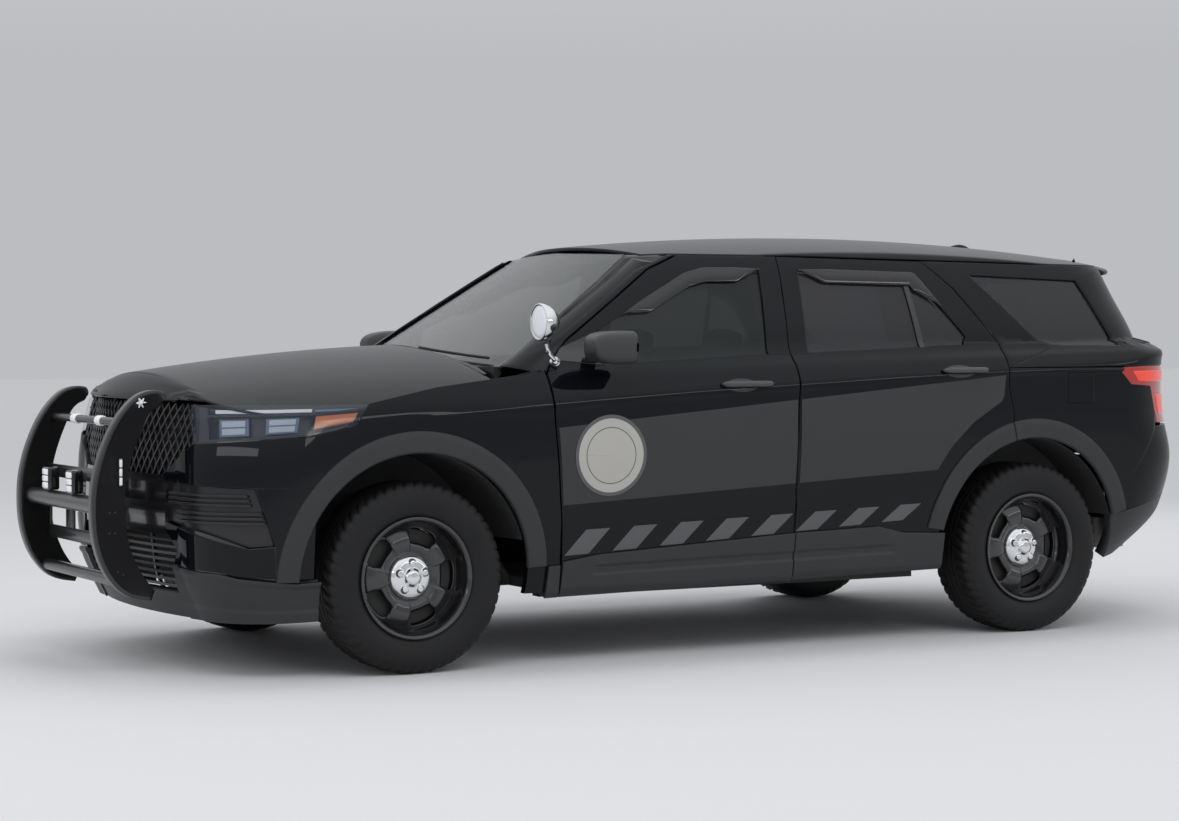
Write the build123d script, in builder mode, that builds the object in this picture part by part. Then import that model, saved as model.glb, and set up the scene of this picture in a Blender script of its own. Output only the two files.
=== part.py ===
from build123d import *
import functools
import math
import os

os.makedirs("parts", exist_ok=True)

# Frame: +X forward, +Y left, +Z up, origin on the ground below the middle of the car.
# A station is a distance ahead of the front axle, so most stations are negative.

# Overall sizes
WHEELBASE = 3025
TRACK = 1702
NOSE_REACH = 1165
TAIL_REACH = 1135
FRONT_AXLE_X = (WHEELBASE + TAIL_REACH - NOSE_REACH) / 2
REAR = -WHEELBASE

# Floor and sills
FLOOR_TOP = 336
FLOOR_WALL = 40
CARGO_TOP = 640
FIREWALL = -450
FLOOR_HALF = 770
SILL_INNER = 770
SILL_OUTER = 834
SILL_TOP = 430
SILL_FOOT = 262
CARGO_HALF = 640
RAIL_END = 690
RAIL_INNER = 390
RAIL_OUTER = 480
RAIL_TOP = 430
SUBFRAME_FOOT = 236
SUBFRAME_TOP = 306

# Walls, gaps and clearances
FENDER_WALL = 34
DOOR_WALL = 92
FRAME_WALL = 46
ROOF_WALL = 34
GAP = 6
SEAT = 0.4
SEAL = 0.3
SEAL_WIDTH = 18
GLASS_DEPTH = 9
GLASS_WALL = 5
PROUD = 15

# Tyres and wheels
TYRE_RADIUS = 376
TYRE_WIDTH = 255
RIM_RADIUS = 229
RIM_LIP = 240
CAP_RADIUS = 88
ARCH_RADIUS = 487
FLARE_RADIUS = 578
WELL_RADIUS_BODY = ARCH_RADIUS + 8
DOOR_ARCH = WELL_RADIUS_BODY + 10

# Lower body sections: height at the front axle, rise towards the rear in degrees,
# nose ahead of the front axle, tail behind the rear axle, half widths at the front,
# middle and rear, corner radii at the front and rear.
BODY_ROWS = [
    (232, 1.0, 800, 960, 905, 933, 905, 330, 260),
    (430, 1.4, 885, 1085, 945, 960, 946, 370, 270),
    (640, 1.6, 903, 1135, 966, 983, 970, 400, 270),
    (830, 2.0, 900, 1100, 978, 997, 980, 430, 260),
    (1015, 2.85, 880, 1058, 965, 995, 970, 440, 250),
    (1120, 2.0, 855, 1032, 935, 968, 948, 440, 240),
    (1195, 1.45, 790, 1012, 885, 915, 905, 430, 230),
    (1300, 1.45, 700, 985, 790, 822, 812, 400, 200),
]
NOSE_BOW = 62
TAIL_BOW = 42

# Cabin sections: height, windscreen at the centre line, rear face behind the rear axle,
# half widths, corner radii.
CABIN_ROWS = [
    (1150, -285, 1012, 876, 921, 896, 150, 230),
    (1300, -520, 982, 848, 893, 868, 140, 220),
    (1480, -802, 930, 790, 836, 812, 130, 210),
    (1640, -1052, 868, 722, 768, 742, 120, 200),
    (1702, -1150, 832, 662, 712, 688, 110, 180),
    (1748, -1222, 790, 566, 622, 600, 100, 160),
    (1790, -1290, 740, 430, 490, 470, 90, 140),
]
SCREEN_BOW = 112
GATE_BOW = 60

# Crowned top surfaces: front, middle and rear point of the centre line, and the
# crown radius across the car.
HOOD_LINE = [(905, 1085), (870, 1136), (786, 1174), (300, 1236), (-430, 1284)]
HOOD_CROWN = 2350
ROOF_LINE = [(-900, 1676), (-2330, 1763), (REAR - 1000, 1655)]
ROOF_CROWN = 3300

SIDE = Plane(origin=(FRONT_AXLE_X, 0, 0), x_dir=(1, 0, 0), z_dir=(0, -1, 0))
HALF_SPAN = 1300


def tilted(height, rise):
    """Plane through the front axle's station at a height, rising to the rear."""
    s = math.radians(rise)
    x_dir = (math.cos(s), 0, -math.sin(s))
    z_dir = (math.sin(s), 0, math.cos(s))
    return Plane(origin=(FRONT_AXLE_X, 0, height), x_dir=x_dir, z_dir=z_dir)


def plan_outline(nose, tail, wf, wm, wr, rf, rr, front_bow, rear_bow):
    """Plan outline of eight arcs, symmetric about the centre line."""
    front_y = wf - rf
    rear_y = wr - rr
    n = (nose - front_bow, front_y)
    c = (nose - front_bow - 0.22 * rf, wf - 0.36 * rf)
    s = (nose - front_bow - 0.95 * rf, wf)
    m = ((nose + tail) / 2, wm)
    q = (tail + rear_bow + rr, wr)
    d = (tail + rear_bow + 0.3 * rr, wr - 0.3 * rr)
    t = (tail + rear_bow, rear_y)
    with BuildLine() as outline:
        ThreePointArc((n[0], -n[1]), (nose, 0), n)
        ThreePointArc(n, c, s)
        ThreePointArc(s, m, q)
        ThreePointArc(q, d, t)
        ThreePointArc(t, (tail, 0), (t[0], -t[1]))
        ThreePointArc((t[0], -t[1]), (d[0], -d[1]), (q[0], -q[1]))
        ThreePointArc((q[0], -q[1]), (m[0], -m[1]), (s[0], -s[1]))
        ThreePointArc((s[0], -s[1]), (c[0], -c[1]), (n[0], -n[1]))
    return outline.line


@functools.cache
def body_space(inset, open_top=False):
    """The lower body's form, moved in by the inset."""
    rows = list(BODY_ROWS)
    if open_top:
        belt = rows[-2]
        rows[-1] = (rows[-1][0],) + belt[1:]
        rows.append((rows[-1][0] + 150,) + belt[1:])
    with BuildPart() as space:
        for height, rise, nose, tail, wf, wm, wr, rf, rr in rows:
            with BuildSketch(tilted(height, rise)):
                add(plan_outline(nose - inset, REAR - tail + inset, wf - inset, wm - inset,
                                 wr - inset, rf - inset / 2, rr - inset / 2, NOSE_BOW, TAIL_BOW))
                make_face()
        loft(ruled=True)
    return space.part


@functools.cache
def cabin_space(inset, roof_inset=None):
    """The glasshouse form from the belt up, under the roof's crown, moved in by the inset."""
    drop = inset if roof_inset is None else roof_inset
    with BuildPart() as space:
        for height, screen, tail, wf, wm, wr, rf, rr in CABIN_ROWS:
            with BuildSketch(tilted(height, 0)):
                add(plan_outline(screen - inset, REAR - tail + inset, wf - inset, wm - inset,
                                 wr - inset, rf - inset / 2, rr - inset / 2, SCREEN_BOW, GATE_BOW))
                make_face()
        loft(ruled=True)
        axis_z = ROOF_LINE[1][1] - ROOF_CROWN
        with BuildSketch(SIDE):
            with BuildLine():
                a, b, c = [(x, z - drop) for x, z in ROOF_LINE]
                ThreePointArc(a, b, c)
                Polyline(c, (c[0] - 300, c[1] - 60), (c[0] - 300, axis_z), (a[0] + 700, axis_z),
                         (a[0] + 700, a[1] - 60), a)
            make_face()
        revolve(axis=Axis((0, 0, axis_z), (1, 0, 0)), revolution_arc=360, mode=Mode.INTERSECT)
    return space.part


def hood_space(drop):
    """Everything under the hood's crowned surface, lowered by the drop."""
    axis_z = HOOD_LINE[-1][1] - HOOD_CROWN
    with BuildPart() as space:
        with BuildSketch(SIDE):
            with BuildLine():
                p = [(x - drop, z - drop) for x, z in HOOD_LINE]
                ThreePointArc(p[0], p[1], p[2])
                ThreePointArc(p[2], p[3], (p[4][0] + drop, p[4][1]))
                Polyline((p[4][0] + drop, p[4][1]), (p[4][0] + drop - 400, p[4][1]),
                         (p[4][0] + drop - 400, axis_z), (p[0][0], axis_z), p[0])
            make_face()
        revolve(axis=Axis((0, 0, axis_z), (1, 0, 0)), revolution_arc=360)
    return space.part


def side_prism(points, inner=0, outer=HALF_SPAN, grow=0):
    """A side outline, given as stations and heights, carried from inner to outer on the left."""
    with BuildPart() as prism:
        with BuildSketch(SIDE.offset(-inner)):
            with BuildLine():
                Polyline(*points, close=True)
            make_face()
            if grow:
                offset(amount=grow, kind=Kind.INTERSECTION)
        extrude(amount=-(outer - inner))
    return prism.part


def front_prism(points, front, back):
    """A front-view outline, given as left half points (y, z), mirrored, between two stations."""
    full = list(points) + [(-y, z) for y, z in reversed(points) if y > 0]
    plane = Plane(origin=(FRONT_AXLE_X + back, 0, 0), x_dir=(0, 1, 0), z_dir=(1, 0, 0))
    with BuildPart() as prism:
        with BuildSketch(plane):
            with BuildLine():
                Polyline(*full, close=True)
            make_face()
        extrude(amount=front - back)
    return prism.part


@functools.cache
def wheel_cut(station, radius, inner=0, outer=HALF_SPAN):
    """Cylinder across the left side at an axle."""
    with BuildPart() as cut:
        with BuildSketch(SIDE.offset(-inner)):
            with Locations((station, TYRE_RADIUS)):
                Circle(radius)
        extrude(amount=-(outer - inner))
    return cut.part


def handed(left_part, side):
    """The left part, or its mirror image for the right side."""
    if side == "left":
        return left_part
    return mirror(left_part, about=Plane.XZ, mode=Mode.PRIVATE)


def save(part, name):
    """Label a finished piece and write it."""
    part.label = name
    export_step(part, f"parts/{name}.step")


# Seams on the left side, as stations and heights.
DOOR_LEAD = [(-648, 266), (-640, 560), (-603, 945), (-585, 1165), (-640, 1230), (-731, 1304),
             (-1177, 1600), (-1330, 1661)]
CENTRE_SEAM = [(-1808, 1661), (-1772, 1239), (-1752, 840), (-1760, 439), (-1760, 284)]
DOOR_TRAIL = [(REAR + 470, 1649), (REAR + 335, 1530), (REAR + 139, 1288), (REAR + 146, 1193),
              (REAR + 146, 1098), (REAR + 120, 978)]
DOOR_FOOT = (REAR + 481, 298)
HOOD_SEAM = [(940, 1067), (213, 1067), (-90, 1127), (-447, 1168), (-700, 1190)]
RAIL_SEAM = [(-900, 1664), (-1330, 1664), (-1808, 1664), (REAR + 470, 1652), (REAR - 790, 1640)]
LAMP_OUTLINE = [(960, 1062), (205, 1061), (262, 977), (446, 938), (960, 905)]
BUMPER_SEAM = [(262, 977), (430, 700), (430, 560)]
VALANCE_SEAM = [(400, 382), (500, 378), (940, 430)]
REAR_SEAM = [(REAR - 440, 640), (REAR - 600, 700), (REAR - 772, 920)]
REAR_VALANCE_SEAM = [(REAR - 400, 505), (REAR - 560, 525), (REAR - 915, 614), (REAR - 1300, 620)]
CLADDING_SEAM = [(-560, 404), (-651, 410), (-808, 435), (-1778, 488), (REAR + 834, 499),
                 (REAR + 702, 468), (REAR + 480, 460)]
TAIL_LAMP_OUTLINE = [(REAR - 484, 1174), (REAR - 561, 1096), (REAR - 735, 1084),
                     (REAR - 773, 925), (REAR - 1200, 925), (REAR - 1200, 1182)]
SEAL_FRONT = REAR + 170
SEAL_TOP = 1148
FRONT_WINDOW = [(-862, 1204), (-868, 1340), (-1325, 1575), (-1420, 1600), (-1702, 1604),
                (-1664, 1244)]
REAR_WINDOW = [(-1862, 1248), (-1893, 1602), (REAR + 540, 1590), (REAR + 309, 1316),
               (REAR + 335, 1280)]
QUARTER_WINDOW = [(REAR - 175, 1278), (REAR - 90, 1302), (REAR + 221, 1588), (REAR - 391, 1568),
                  (REAR - 545, 1280)]
SCREEN_OUTLINE = [(745, 1198), (738, 1240), (706, 1300), (676, 1362), (634, 1458), (590, 1556),
                  (532, 1655), (505, 1674), (0, 1690)]
SCREEN_BACK = -1260
GATE_OUTLINE = [(640, 728), (700, 900), (728, 1180), (735, 1290), (680, 1560), (600, 1800)]
GATE_LINE = REAR - 800
BELT_SEAM = [(-500, 1236), (REAR - 1300, 1296)]
GATE_WINDOW = [(630, 1262), (640, 1300), (585, 1560), (560, 1590)]
GRILLE_OUTLINE = [(600, 1058), (664, 905), (455, 782)]
UPRIGHT_Y = 490
UPRIGHT_WALL = 56
BRACKET_Z = 416
BRACKET_HEIGHT = 80
BRACKET_REACH = 1000
LOWER_GRILLE = [(500, 548), (560, 500), (520, 330)]
FOG_POCKET = [(990, 758), (652, 742), (583, 520), (674, 512), (930, 626), (985, 722)]
FUEL_FLAP = (REAR - 265, 1085, 150, 135)

# Space forms used by several panels
outer_body = body_space(0)
outer_cabin = cabin_space(0)
hood_top = hood_space(0)
fender_shell = outer_body & hood_top
fender_shell = fender_shell - body_space(FENDER_WALL, open_top=True)
door_shell = outer_body - body_space(DOOR_WALL, open_top=True)
frame_shell = outer_cabin - cabin_space(FRAME_WALL, ROOF_WALL)
trim_shell = body_space(-PROUD) - body_space(-SEAT)


below_belt = side_prism(BELT_SEAM + [(REAR - 1300, 100), (-500, 100)])
front_door_face = DOOR_LEAD + CENTRE_SEAM
rear_door_face = list(reversed(CENTRE_SEAM)) + DOOR_TRAIL


def rear_door_prism(grow, inner=0, arch=DOOR_ARCH):
    """Rear door outline with its arc over the wheel opening."""
    with BuildPart() as prism:
        with BuildSketch(SIDE.offset(-inner)):
            with BuildLine():
                Polyline(*rear_door_face)
                top_x = DOOR_TRAIL[-1][0]
                top = (top_x, TYRE_RADIUS + math.sqrt(arch ** 2 - (top_x - REAR) ** 2))
                foot_z = DOOR_FOOT[1]
                foot = (REAR + math.sqrt(arch ** 2 - (foot_z - TYRE_RADIUS) ** 2), foot_z)
                mid = (REAR + arch * math.cos(math.radians(35)),
                       TYRE_RADIUS + arch * math.sin(math.radians(35)))
                Line(DOOR_TRAIL[-1], top)
                ThreePointArc(top, mid, foot)
                Line(foot, rear_door_face[0])
            make_face()
            offset(amount=grow, kind=Kind.INTERSECTION)
        extrude(amount=-(HALF_SPAN - inner))
    return prism.part


def front_door_prism(grow, inner=0):
    """Front door outline."""
    return side_prism(front_door_face, inner=inner, grow=grow)


sides = ("left", "right")

# Doors
DOORS = [
    ("front_door", front_door_prism, FRONT_WINDOW),
    ("rear_door", rear_door_prism, REAR_WINDOW),
]
glass_shell = cabin_space(GLASS_DEPTH) - cabin_space(GLASS_DEPTH + GLASS_WALL)
HANDLES = {"front_door": (-1376, -1628, 1121), "rear_door": (-2510, -2755, 1170)}
HANDLE_HEIGHT = 30
HANDLE_REACH = 34
cladding_region = side_prism(
    CLADDING_SEAM + [(REAR + 480, 150), (-560, 150)])
rear_flare_ring = wheel_cut(REAR, FLARE_RADIUS) - wheel_cut(REAR, ARCH_RADIUS)
front_flare_ring = wheel_cut(0, FLARE_RADIUS) - wheel_cut(0, ARCH_RADIUS)

for door_name, prism_of, window in DOORS:
    outline = prism_of(-GAP / 2)
    trim_outline = outline
    if door_name == "rear_door":
        trim_outline = rear_door_prism(-GAP / 2, arch=ARCH_RADIUS - GAP / 2)
    skin = (door_shell & outline & below_belt) + (frame_shell & outline)
    skin = skin - side_prism(window, inner=500)
    glass = glass_shell & side_prism(window, inner=500, grow=-SEAT)
    cladding = trim_shell & trim_outline & (cladding_region + rear_flare_ring)
    start, stop, height = HANDLES[door_name]
    with BuildPart() as handle:
        with BuildSketch(Plane.XZ.offset(-900)):
            with Locations((FRONT_AXLE_X + (start + stop) / 2, height)):
                SlotOverall(start - stop, HANDLE_HEIGHT)
        extrude(amount=-150)
    bar = handle.part & (body_space(-HANDLE_REACH) - body_space(-SEAT))
    for side in sides:
        with BuildPart() as door:
            add(handed(skin, side))
        save(door.part, f"{door_name}_{side}")
        with BuildPart() as door_glass:
            add(handed(glass, side))
        save(door_glass.part, f"{door_name}_glass_{side}")
        with BuildPart() as door_trim:
            add(handed(cladding, side))
            add(handed(bar, side))
        save(door_trim.part, f"{door_name}_trim_{side}")

# Mirrors, one on each front door
MIRROR_FRONT = -706
MIRROR_BACK = -900
MIRROR_INNER = 955
MIRROR_OUTER = 1134
MIRROR_LOW = 1212
MIRROR_HIGH = 1346
with BuildPart() as mirror_form:
    mid_y = (MIRROR_INNER + MIRROR_OUTER) / 2
    mid_z = (MIRROR_LOW + MIRROR_HIGH) / 2
    span = MIRROR_OUTER - MIRROR_INNER
    rise = MIRROR_HIGH - MIRROR_LOW
    for station, share in ((MIRROR_FRONT, 0.62), (MIRROR_FRONT - 60, 0.92), (MIRROR_BACK, 1.0)):
        with BuildSketch(Plane(origin=(FRONT_AXLE_X + station, 0, 0), x_dir=(0, 1, 0),
                               z_dir=(1, 0, 0))):
            with Locations((MIRROR_OUTER - span * share / 2, mid_z)):
                RectangleRounded(span * share, rise * share, rise * share * 0.3)
    loft(ruled=True)
    with BuildSketch(Plane.XZ.offset(-900)):
        with Locations((FRONT_AXLE_X + (MIRROR_FRONT + MIRROR_BACK) / 2, MIRROR_LOW + 30)):
            Rectangle(90, 34)
    extrude(amount=-(MIRROR_INNER - 900 + 40))
mirror_head = mirror_form.part - outer_cabin - body_space(-SEAT)
for side in sides:
    with BuildPart() as mirror_piece:
        add(handed(mirror_head, side))
    save(mirror_piece.part, f"mirror_{side}")

# Roof, pillars, posts
screen_cut = front_prism(SCREEN_OUTLINE, 0, SCREEN_BACK)
gate_grown = front_prism([(y + GAP, z) for y, z in GATE_OUTLINE], GATE_LINE + GAP, REAR - 1300)
gate_grown = gate_grown + front_prism([(GATE_OUTLINE[0][0] + GAP, GATE_OUTLINE[0][1] - GAP),
                                       (GATE_OUTLINE[0][0] + GAP, GATE_OUTLINE[0][1] + 1)],
                                      GATE_LINE + GAP, REAR - 1300)
roof_half = side_prism(RAIL_SEAM + [(REAR - 1300, 1640), (REAR - 1300, 1900), (-900, 1900)])
roof_region = roof_half + mirror(roof_half, about=Plane.XZ, mode=Mode.PRIVATE)
with BuildPart() as roof_panel:
    add(frame_shell & roof_region)
    add(screen_cut, mode=Mode.SUBTRACT)
    add(gate_grown, mode=Mode.SUBTRACT)
save(roof_panel.part, "roof_panel")

pillar_region = side_prism([(-300, 1199), (-1500, 1199), (-1500, 1664 - SEAT),
                            (-300, 1664 - SEAT)])
pillar = frame_shell & pillar_region
pillar = pillar - front_door_prism(GAP / 2) - screen_cut
with BuildPart() as screen_pillars:
    add(pillar.solids().sort_by(SortBy.VOLUME)[-1])
    mirror(about=Plane.XZ)
save(screen_pillars.part, "screen_pillars")

POST_WALL = 66
POST_WIDTH = 130
POST_FOOT = SILL_TOP + SEAT
post_centre = (CENTRE_SEAM[0][0] + CENTRE_SEAM[2][0]) / 2
post_front = post_centre + POST_WIDTH / 2
post_back = post_centre - POST_WIDTH / 2
post_split = 1268
upper_post = cabin_space(FRAME_WALL + GAP, ROOF_WALL + SEAT) - cabin_space(
    FRAME_WALL + GAP + POST_WALL, ROOF_WALL)
upper_post = upper_post & side_prism([(post_front, post_split), (post_front, 1800),
                                      (post_back, 1800), (post_back, post_split)])
lower_post = body_space(DOOR_WALL + GAP, True) - body_space(DOOR_WALL + GAP + POST_WALL, True)
lower_post = lower_post & side_prism([(post_front, POST_FOOT), (post_front, post_split),
                                      (post_back, post_split), (post_back, POST_FOOT)])
post_low = lower_post & side_prism([(post_front, POST_FOOT), (post_front, CABIN_ROWS[0][0]),
                                    (post_back, CABIN_ROWS[0][0]), (post_back, POST_FOOT)])
lower_post = post_low + (lower_post & cabin_space(FRAME_WALL + GAP))
seal = body_space(DOOR_WALL + SEAL, True) - body_space(DOOR_WALL + GAP + POST_WALL / 2, True)
seal = seal & side_prism([(post_front, POST_FOOT), (post_front, CABIN_ROWS[0][0]),
                          (post_front - SEAL_WIDTH, CABIN_ROWS[0][0]),
                          (post_front - SEAL_WIDTH, POST_FOOT)])
with BuildPart() as centre_posts:
    add(upper_post + lower_post + seal)
    mirror(about=Plane.XZ)
save(centre_posts.part, "centre_posts")

# Rear quarter panels with the fuel flap
quarter_region = side_prism([(x, z - SEAT) for x, z in RAIL_SEAM[2:]]
                            + [(REAR - 1300, 1640 - SEAT), (REAR - 1300, 920 + SEAT)]
                            + [(x, z + SEAT) for x, z in reversed(REAR_SEAM)]
                            + [(RAIL_SEAM[2][0], REAR_SEAM[0][1])])
quarter_wall = DOOR_WALL + SEAL_WIDTH
quarter_body = outer_body - body_space(quarter_wall, open_top=True)
quarter = (quarter_body & quarter_region & below_belt) + (frame_shell & quarter_region)
lamp_prism = side_prism(TAIL_LAMP_OUTLINE)
seal = body_space(DOOR_WALL + SEAL, True) - body_space(quarter_wall, True)
seal = seal & rear_door_prism(GAP / 2) & side_prism(
    [(REAR + 60, 1000), (REAR + 60, SEAL_TOP), (SEAL_FRONT, SEAL_TOP), (SEAL_FRONT, 1000)])
quarter = quarter - rear_door_prism(GAP / 2) + seal
quarter = quarter - wheel_cut(REAR, WELL_RADIUS_BODY) - gate_grown
quarter = quarter - side_prism(QUARTER_WINDOW, inner=500) - lamp_prism
with BuildPart() as flap_prism:
    with BuildSketch(SIDE.offset(-700)):
        with Locations((FUEL_FLAP[0], FUEL_FLAP[1])):
            RectangleRounded(FUEL_FLAP[2], FUEL_FLAP[3], 22)
    extrude(amount=-400)
with BuildPart() as flap_hole:
    with BuildSketch(SIDE.offset(-700)):
        with Locations((FUEL_FLAP[0], FUEL_FLAP[1])):
            RectangleRounded(FUEL_FLAP[2] + GAP, FUEL_FLAP[3] + GAP, 25)
    extrude(amount=-400)
FLAP_WALL = 10
flap = (outer_body - body_space(FLAP_WALL, True)) & flap_prism.part
flap_pocket = flap_hole.part - body_space(FENDER_WALL)
with BuildPart() as stop_pin:
    with BuildSketch(SIDE.offset(-700)):
        with Locations((FUEL_FLAP[0] - FUEL_FLAP[2] / 2 + 20, FUEL_FLAP[1])):
            Circle(7)
    extrude(amount=-400)
flap_stop = stop_pin.part & (body_space(FLAP_WALL + SEAL) - body_space(FENDER_WALL + 5, True))
quarter = quarter.solids().sort_by(SortBy.VOLUME)[-1]
with BuildPart() as quarter_left:
    add(quarter)
    add(flap_pocket, mode=Mode.SUBTRACT)
    add(flap_stop)
save(quarter_left.part, "rear_quarter_left")
with BuildPart() as quarter_right:
    add(quarter)
    mirror(about=Plane.XZ, mode=Mode.REPLACE)
save(quarter_right.part, "rear_quarter_right")
with BuildPart() as fuel_flap:
    add(flap)
save(fuel_flap.part, "fuel_flap")
with BuildPart() as fixed_glass:
    add(glass_shell & side_prism(QUARTER_WINDOW, inner=500, grow=-SEAT))
    mirror(about=Plane.XZ)
    inset = [(y - SEAT, z) for y, z in SCREEN_OUTLINE[:-1]] + [(0, SCREEN_OUTLINE[-1][1] - SEAT)]
    add(glass_shell & front_prism(inset, 0, SCREEN_BACK))
save(fixed_glass.part, "fixed_glass")

# Tail lamps
LAMP_WALL = 60
lamp_body = outer_body - body_space(LAMP_WALL, open_top=True)
with BuildPart() as tail_lamps:
    add(lamp_body & side_prism(TAIL_LAMP_OUTLINE, grow=-1) - gate_grown)
    mirror(about=Plane.XZ)
save(tail_lamps.part, "tail_lamps")

# Liftgate with spoiler, and its glass
GATE_WALL = 60
SPOILER = [(REAR - 812, 1676), (REAR - 900, 1672), (REAR - 975, 1652), (REAR - 980, 1634),
           (REAR - 870, 1628), (REAR - 835, 1640)]
SPOILER_HALF = 600
gate_region = front_prism(GATE_OUTLINE, GATE_LINE, REAR - 1300)
gate_body = outer_body - body_space(GATE_WALL, open_top=True)
gate_frame = outer_cabin - cabin_space(GATE_WALL, FRAME_WALL)
gate_below = front_prism([(HALF_SPAN, 200), (HALF_SPAN, 1290)], REAR, REAR - 1400)
gate = (gate_body & gate_region & gate_below) + (gate_frame & gate_region)
gate_glass_cut = front_prism(GATE_WINDOW, REAR - 700, REAR - 1300)
gate = gate - gate_glass_cut
with BuildPart() as liftgate:
    add(gate)
    with BuildSketch(SIDE):
        with BuildLine():
            Polyline(*SPOILER, close=True)
        make_face()
    extrude(amount=SPOILER_HALF, both=True)
save(liftgate.part, "liftgate")
with BuildPart() as liftgate_glass:
    inset = [(y - SEAT, z + SEAT if z < 1400 else z - SEAT) for y, z in GATE_WINDOW]
    add(glass_shell & front_prism(inset, REAR - 700, REAR - 1300))
save(liftgate_glass.part, "liftgate_glass")

# Hood
hood_region = side_prism([(x, z + GAP / 2) for x, z in HOOD_SEAM] + [(-700, 1400), (1000, 1400)])
HOOD_WALL = 38
HOOD_BACK = -336
HOOD_BACK_SIDE = -452
HOOD_BACK_Y = 735
hood_form = (outer_body & hood_top) - hood_space(HOOD_WALL)
hood_form = hood_form & hood_region
with BuildPart() as hood_plan:
    with BuildSketch(Plane(origin=(FRONT_AXLE_X, 0, 1000), x_dir=(1, 0, 0), z_dir=(0, 0, 1))):
        with BuildLine():
            ThreePointArc((HOOD_BACK_SIDE, -HOOD_BACK_Y), (HOOD_BACK, 0),
                          (HOOD_BACK_SIDE, HOOD_BACK_Y))
            Polyline((HOOD_BACK_SIDE, HOOD_BACK_Y), (HOOD_BACK_SIDE, 1000), (1000, 1000),
                     (1000, -1000), (HOOD_BACK_SIDE, -1000), (HOOD_BACK_SIDE, -HOOD_BACK_Y))
        make_face()
    extrude(amount=400)
with BuildPart() as hood:
    add(hood_form & hood_plan.part)
    mirror(about=Plane.XZ)
save(hood.part, "hood")

# Front fenders
fender_region = side_prism([(-642, 290), (-634, 560), (-597, 945), (-579, 1165), (-560, 1190)]
                           + [(-447, 1168 - GAP / 2), (-90, 1127 - GAP / 2), (213, 1067 - GAP / 2),
                              (203, 1061)] + BUMPER_SEAM + [(430, 290)])
fender = (fender_shell & fender_region) - wheel_cut(0, WELL_RADIUS_BODY)
fender = fender.solids().sort_by(SortBy.VOLUME)[-1]
for side in sides:
    with BuildPart() as front_fender:
        add(handed(fender, side))
    save(front_fender.part, f"fender_{side}")

# Front bumper, valances, headlamps and grilles
BUMPER_WALL = 50
BUMPER_TOP = 1064
BUFFER_X = 857
BUFFER_Y = 90
nose_shell = (outer_body & hood_top) - body_space(BUMPER_WALL, open_top=True)
grille_cut = front_prism(GRILLE_OUTLINE, 1100, 500)
grille_grown = front_prism([(y + 2, z) for y, z in GRILLE_OUTLINE], 1100, 500)
lower_cut = front_prism(LOWER_GRILLE, 1100, 500)
fog_cut = side_prism(FOG_POCKET, inner=480)
bumper_region = side_prism([(1000, BUMPER_TOP), (203, BUMPER_TOP)] + BUMPER_SEAM + [(430, 390)]
                           + [(x, z + SEAT) for x, z in VALANCE_SEAM[1:]]
                           + [(1000, VALANCE_SEAM[-1][1] + SEAT)])
lamp_region = side_prism(LAMP_OUTLINE, inner=610)
bumper_half = nose_shell & bumper_region
bumper_half = bumper_half - wheel_cut(0, WELL_RADIUS_BODY) - grille_cut - lower_cut
bumper_half = bumper_half - fog_cut - lamp_region
bumper_half = bumper_half.solids().sort_by(SortBy.VOLUME)[-1]
with BuildPart() as front_bumper:
    add(bumper_half)
    with BuildSketch(Plane(origin=(FRONT_AXLE_X, 0, BUMPER_TOP - 8), x_dir=(1, 0, 0),
                           z_dir=(0, 0, 1))):
        with Locations((BUFFER_X, BUFFER_Y)):
            Rectangle(12, 40)
    extrude(amount=8 + HOOD_SEAM[0][1] + GAP / 2 - SEAL - BUMPER_TOP)
    mirror(about=Plane.XZ)
save(front_bumper.part, "front_bumper")

with BuildPart() as headlamps:
    lamp_shell = (outer_body & hood_top) - body_space(BUMPER_WALL + 50, open_top=True)
    add((lamp_shell & side_prism(LAMP_OUTLINE, inner=610, grow=-1)) - grille_grown)
    mirror(about=Plane.XZ)
save(headlamps.part, "headlamps")

MESH_PITCH = 62
MESH_BAR = 16
with BuildPart() as grille:
    backing = body_space(14) - body_space(38)
    with BuildSketch(Plane(origin=(FRONT_AXLE_X + 500, 0, 0), x_dir=(0, 1, 0), z_dir=(1, 0, 0))):
        for row in range(-14, 15):
            for lean in (1, -1):
                with Locations(Location((row * MESH_PITCH * 1.6, 920, 0), (0, 0, 32 * lean))):
                    Rectangle(MESH_BAR, 900)
    extrude(amount=600)
    add(backing & front_prism([(y - SEAT, z) for y, z in GRILLE_OUTLINE], 1100, 500),
        mode=Mode.INTERSECT)

with BuildPart() as lower_grille:
    with BuildSketch(Plane(origin=(FRONT_AXLE_X + 500, 0, 0), x_dir=(0, 1, 0), z_dir=(1, 0, 0))):
        for level in range(5):
            with Locations((0, 348 + level * 44)):
                Rectangle(1200, 20)
        with Locations((-300, 440), (0, 440), (300, 440)):
            Rectangle(24, 230)
    extrude(amount=600)
    add(backing & front_prism([(y - SEAT, z) for y, z in LOWER_GRILLE], 1100, 500),
        mode=Mode.INTERSECT)
with BuildPart() as fog_insert:
    add(backing & side_prism(FOG_POCKET, inner=480, grow=-SEAT))
    mirror(about=Plane.XZ)
with BuildPart() as bracket_hole:
    with BuildSketch(Plane(origin=(FRONT_AXLE_X + 500, 0, 0), x_dir=(0, 1, 0),
                           z_dir=(1, 0, 0))):
        for y in (1, -1):
            with Locations((y * (UPRIGHT_Y - UPRIGHT_WALL / 2), BRACKET_Z)):
                Rectangle(UPRIGHT_WALL + 2 * SEAT, BRACKET_HEIGHT + 2 * SEAT)
    extrude(amount=600)
with BuildPart() as grilles:
    add(grille.part)
    add(lower_grille.part)
    add(bracket_hole.part, mode=Mode.SUBTRACT)
    add(fog_insert.part)
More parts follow.
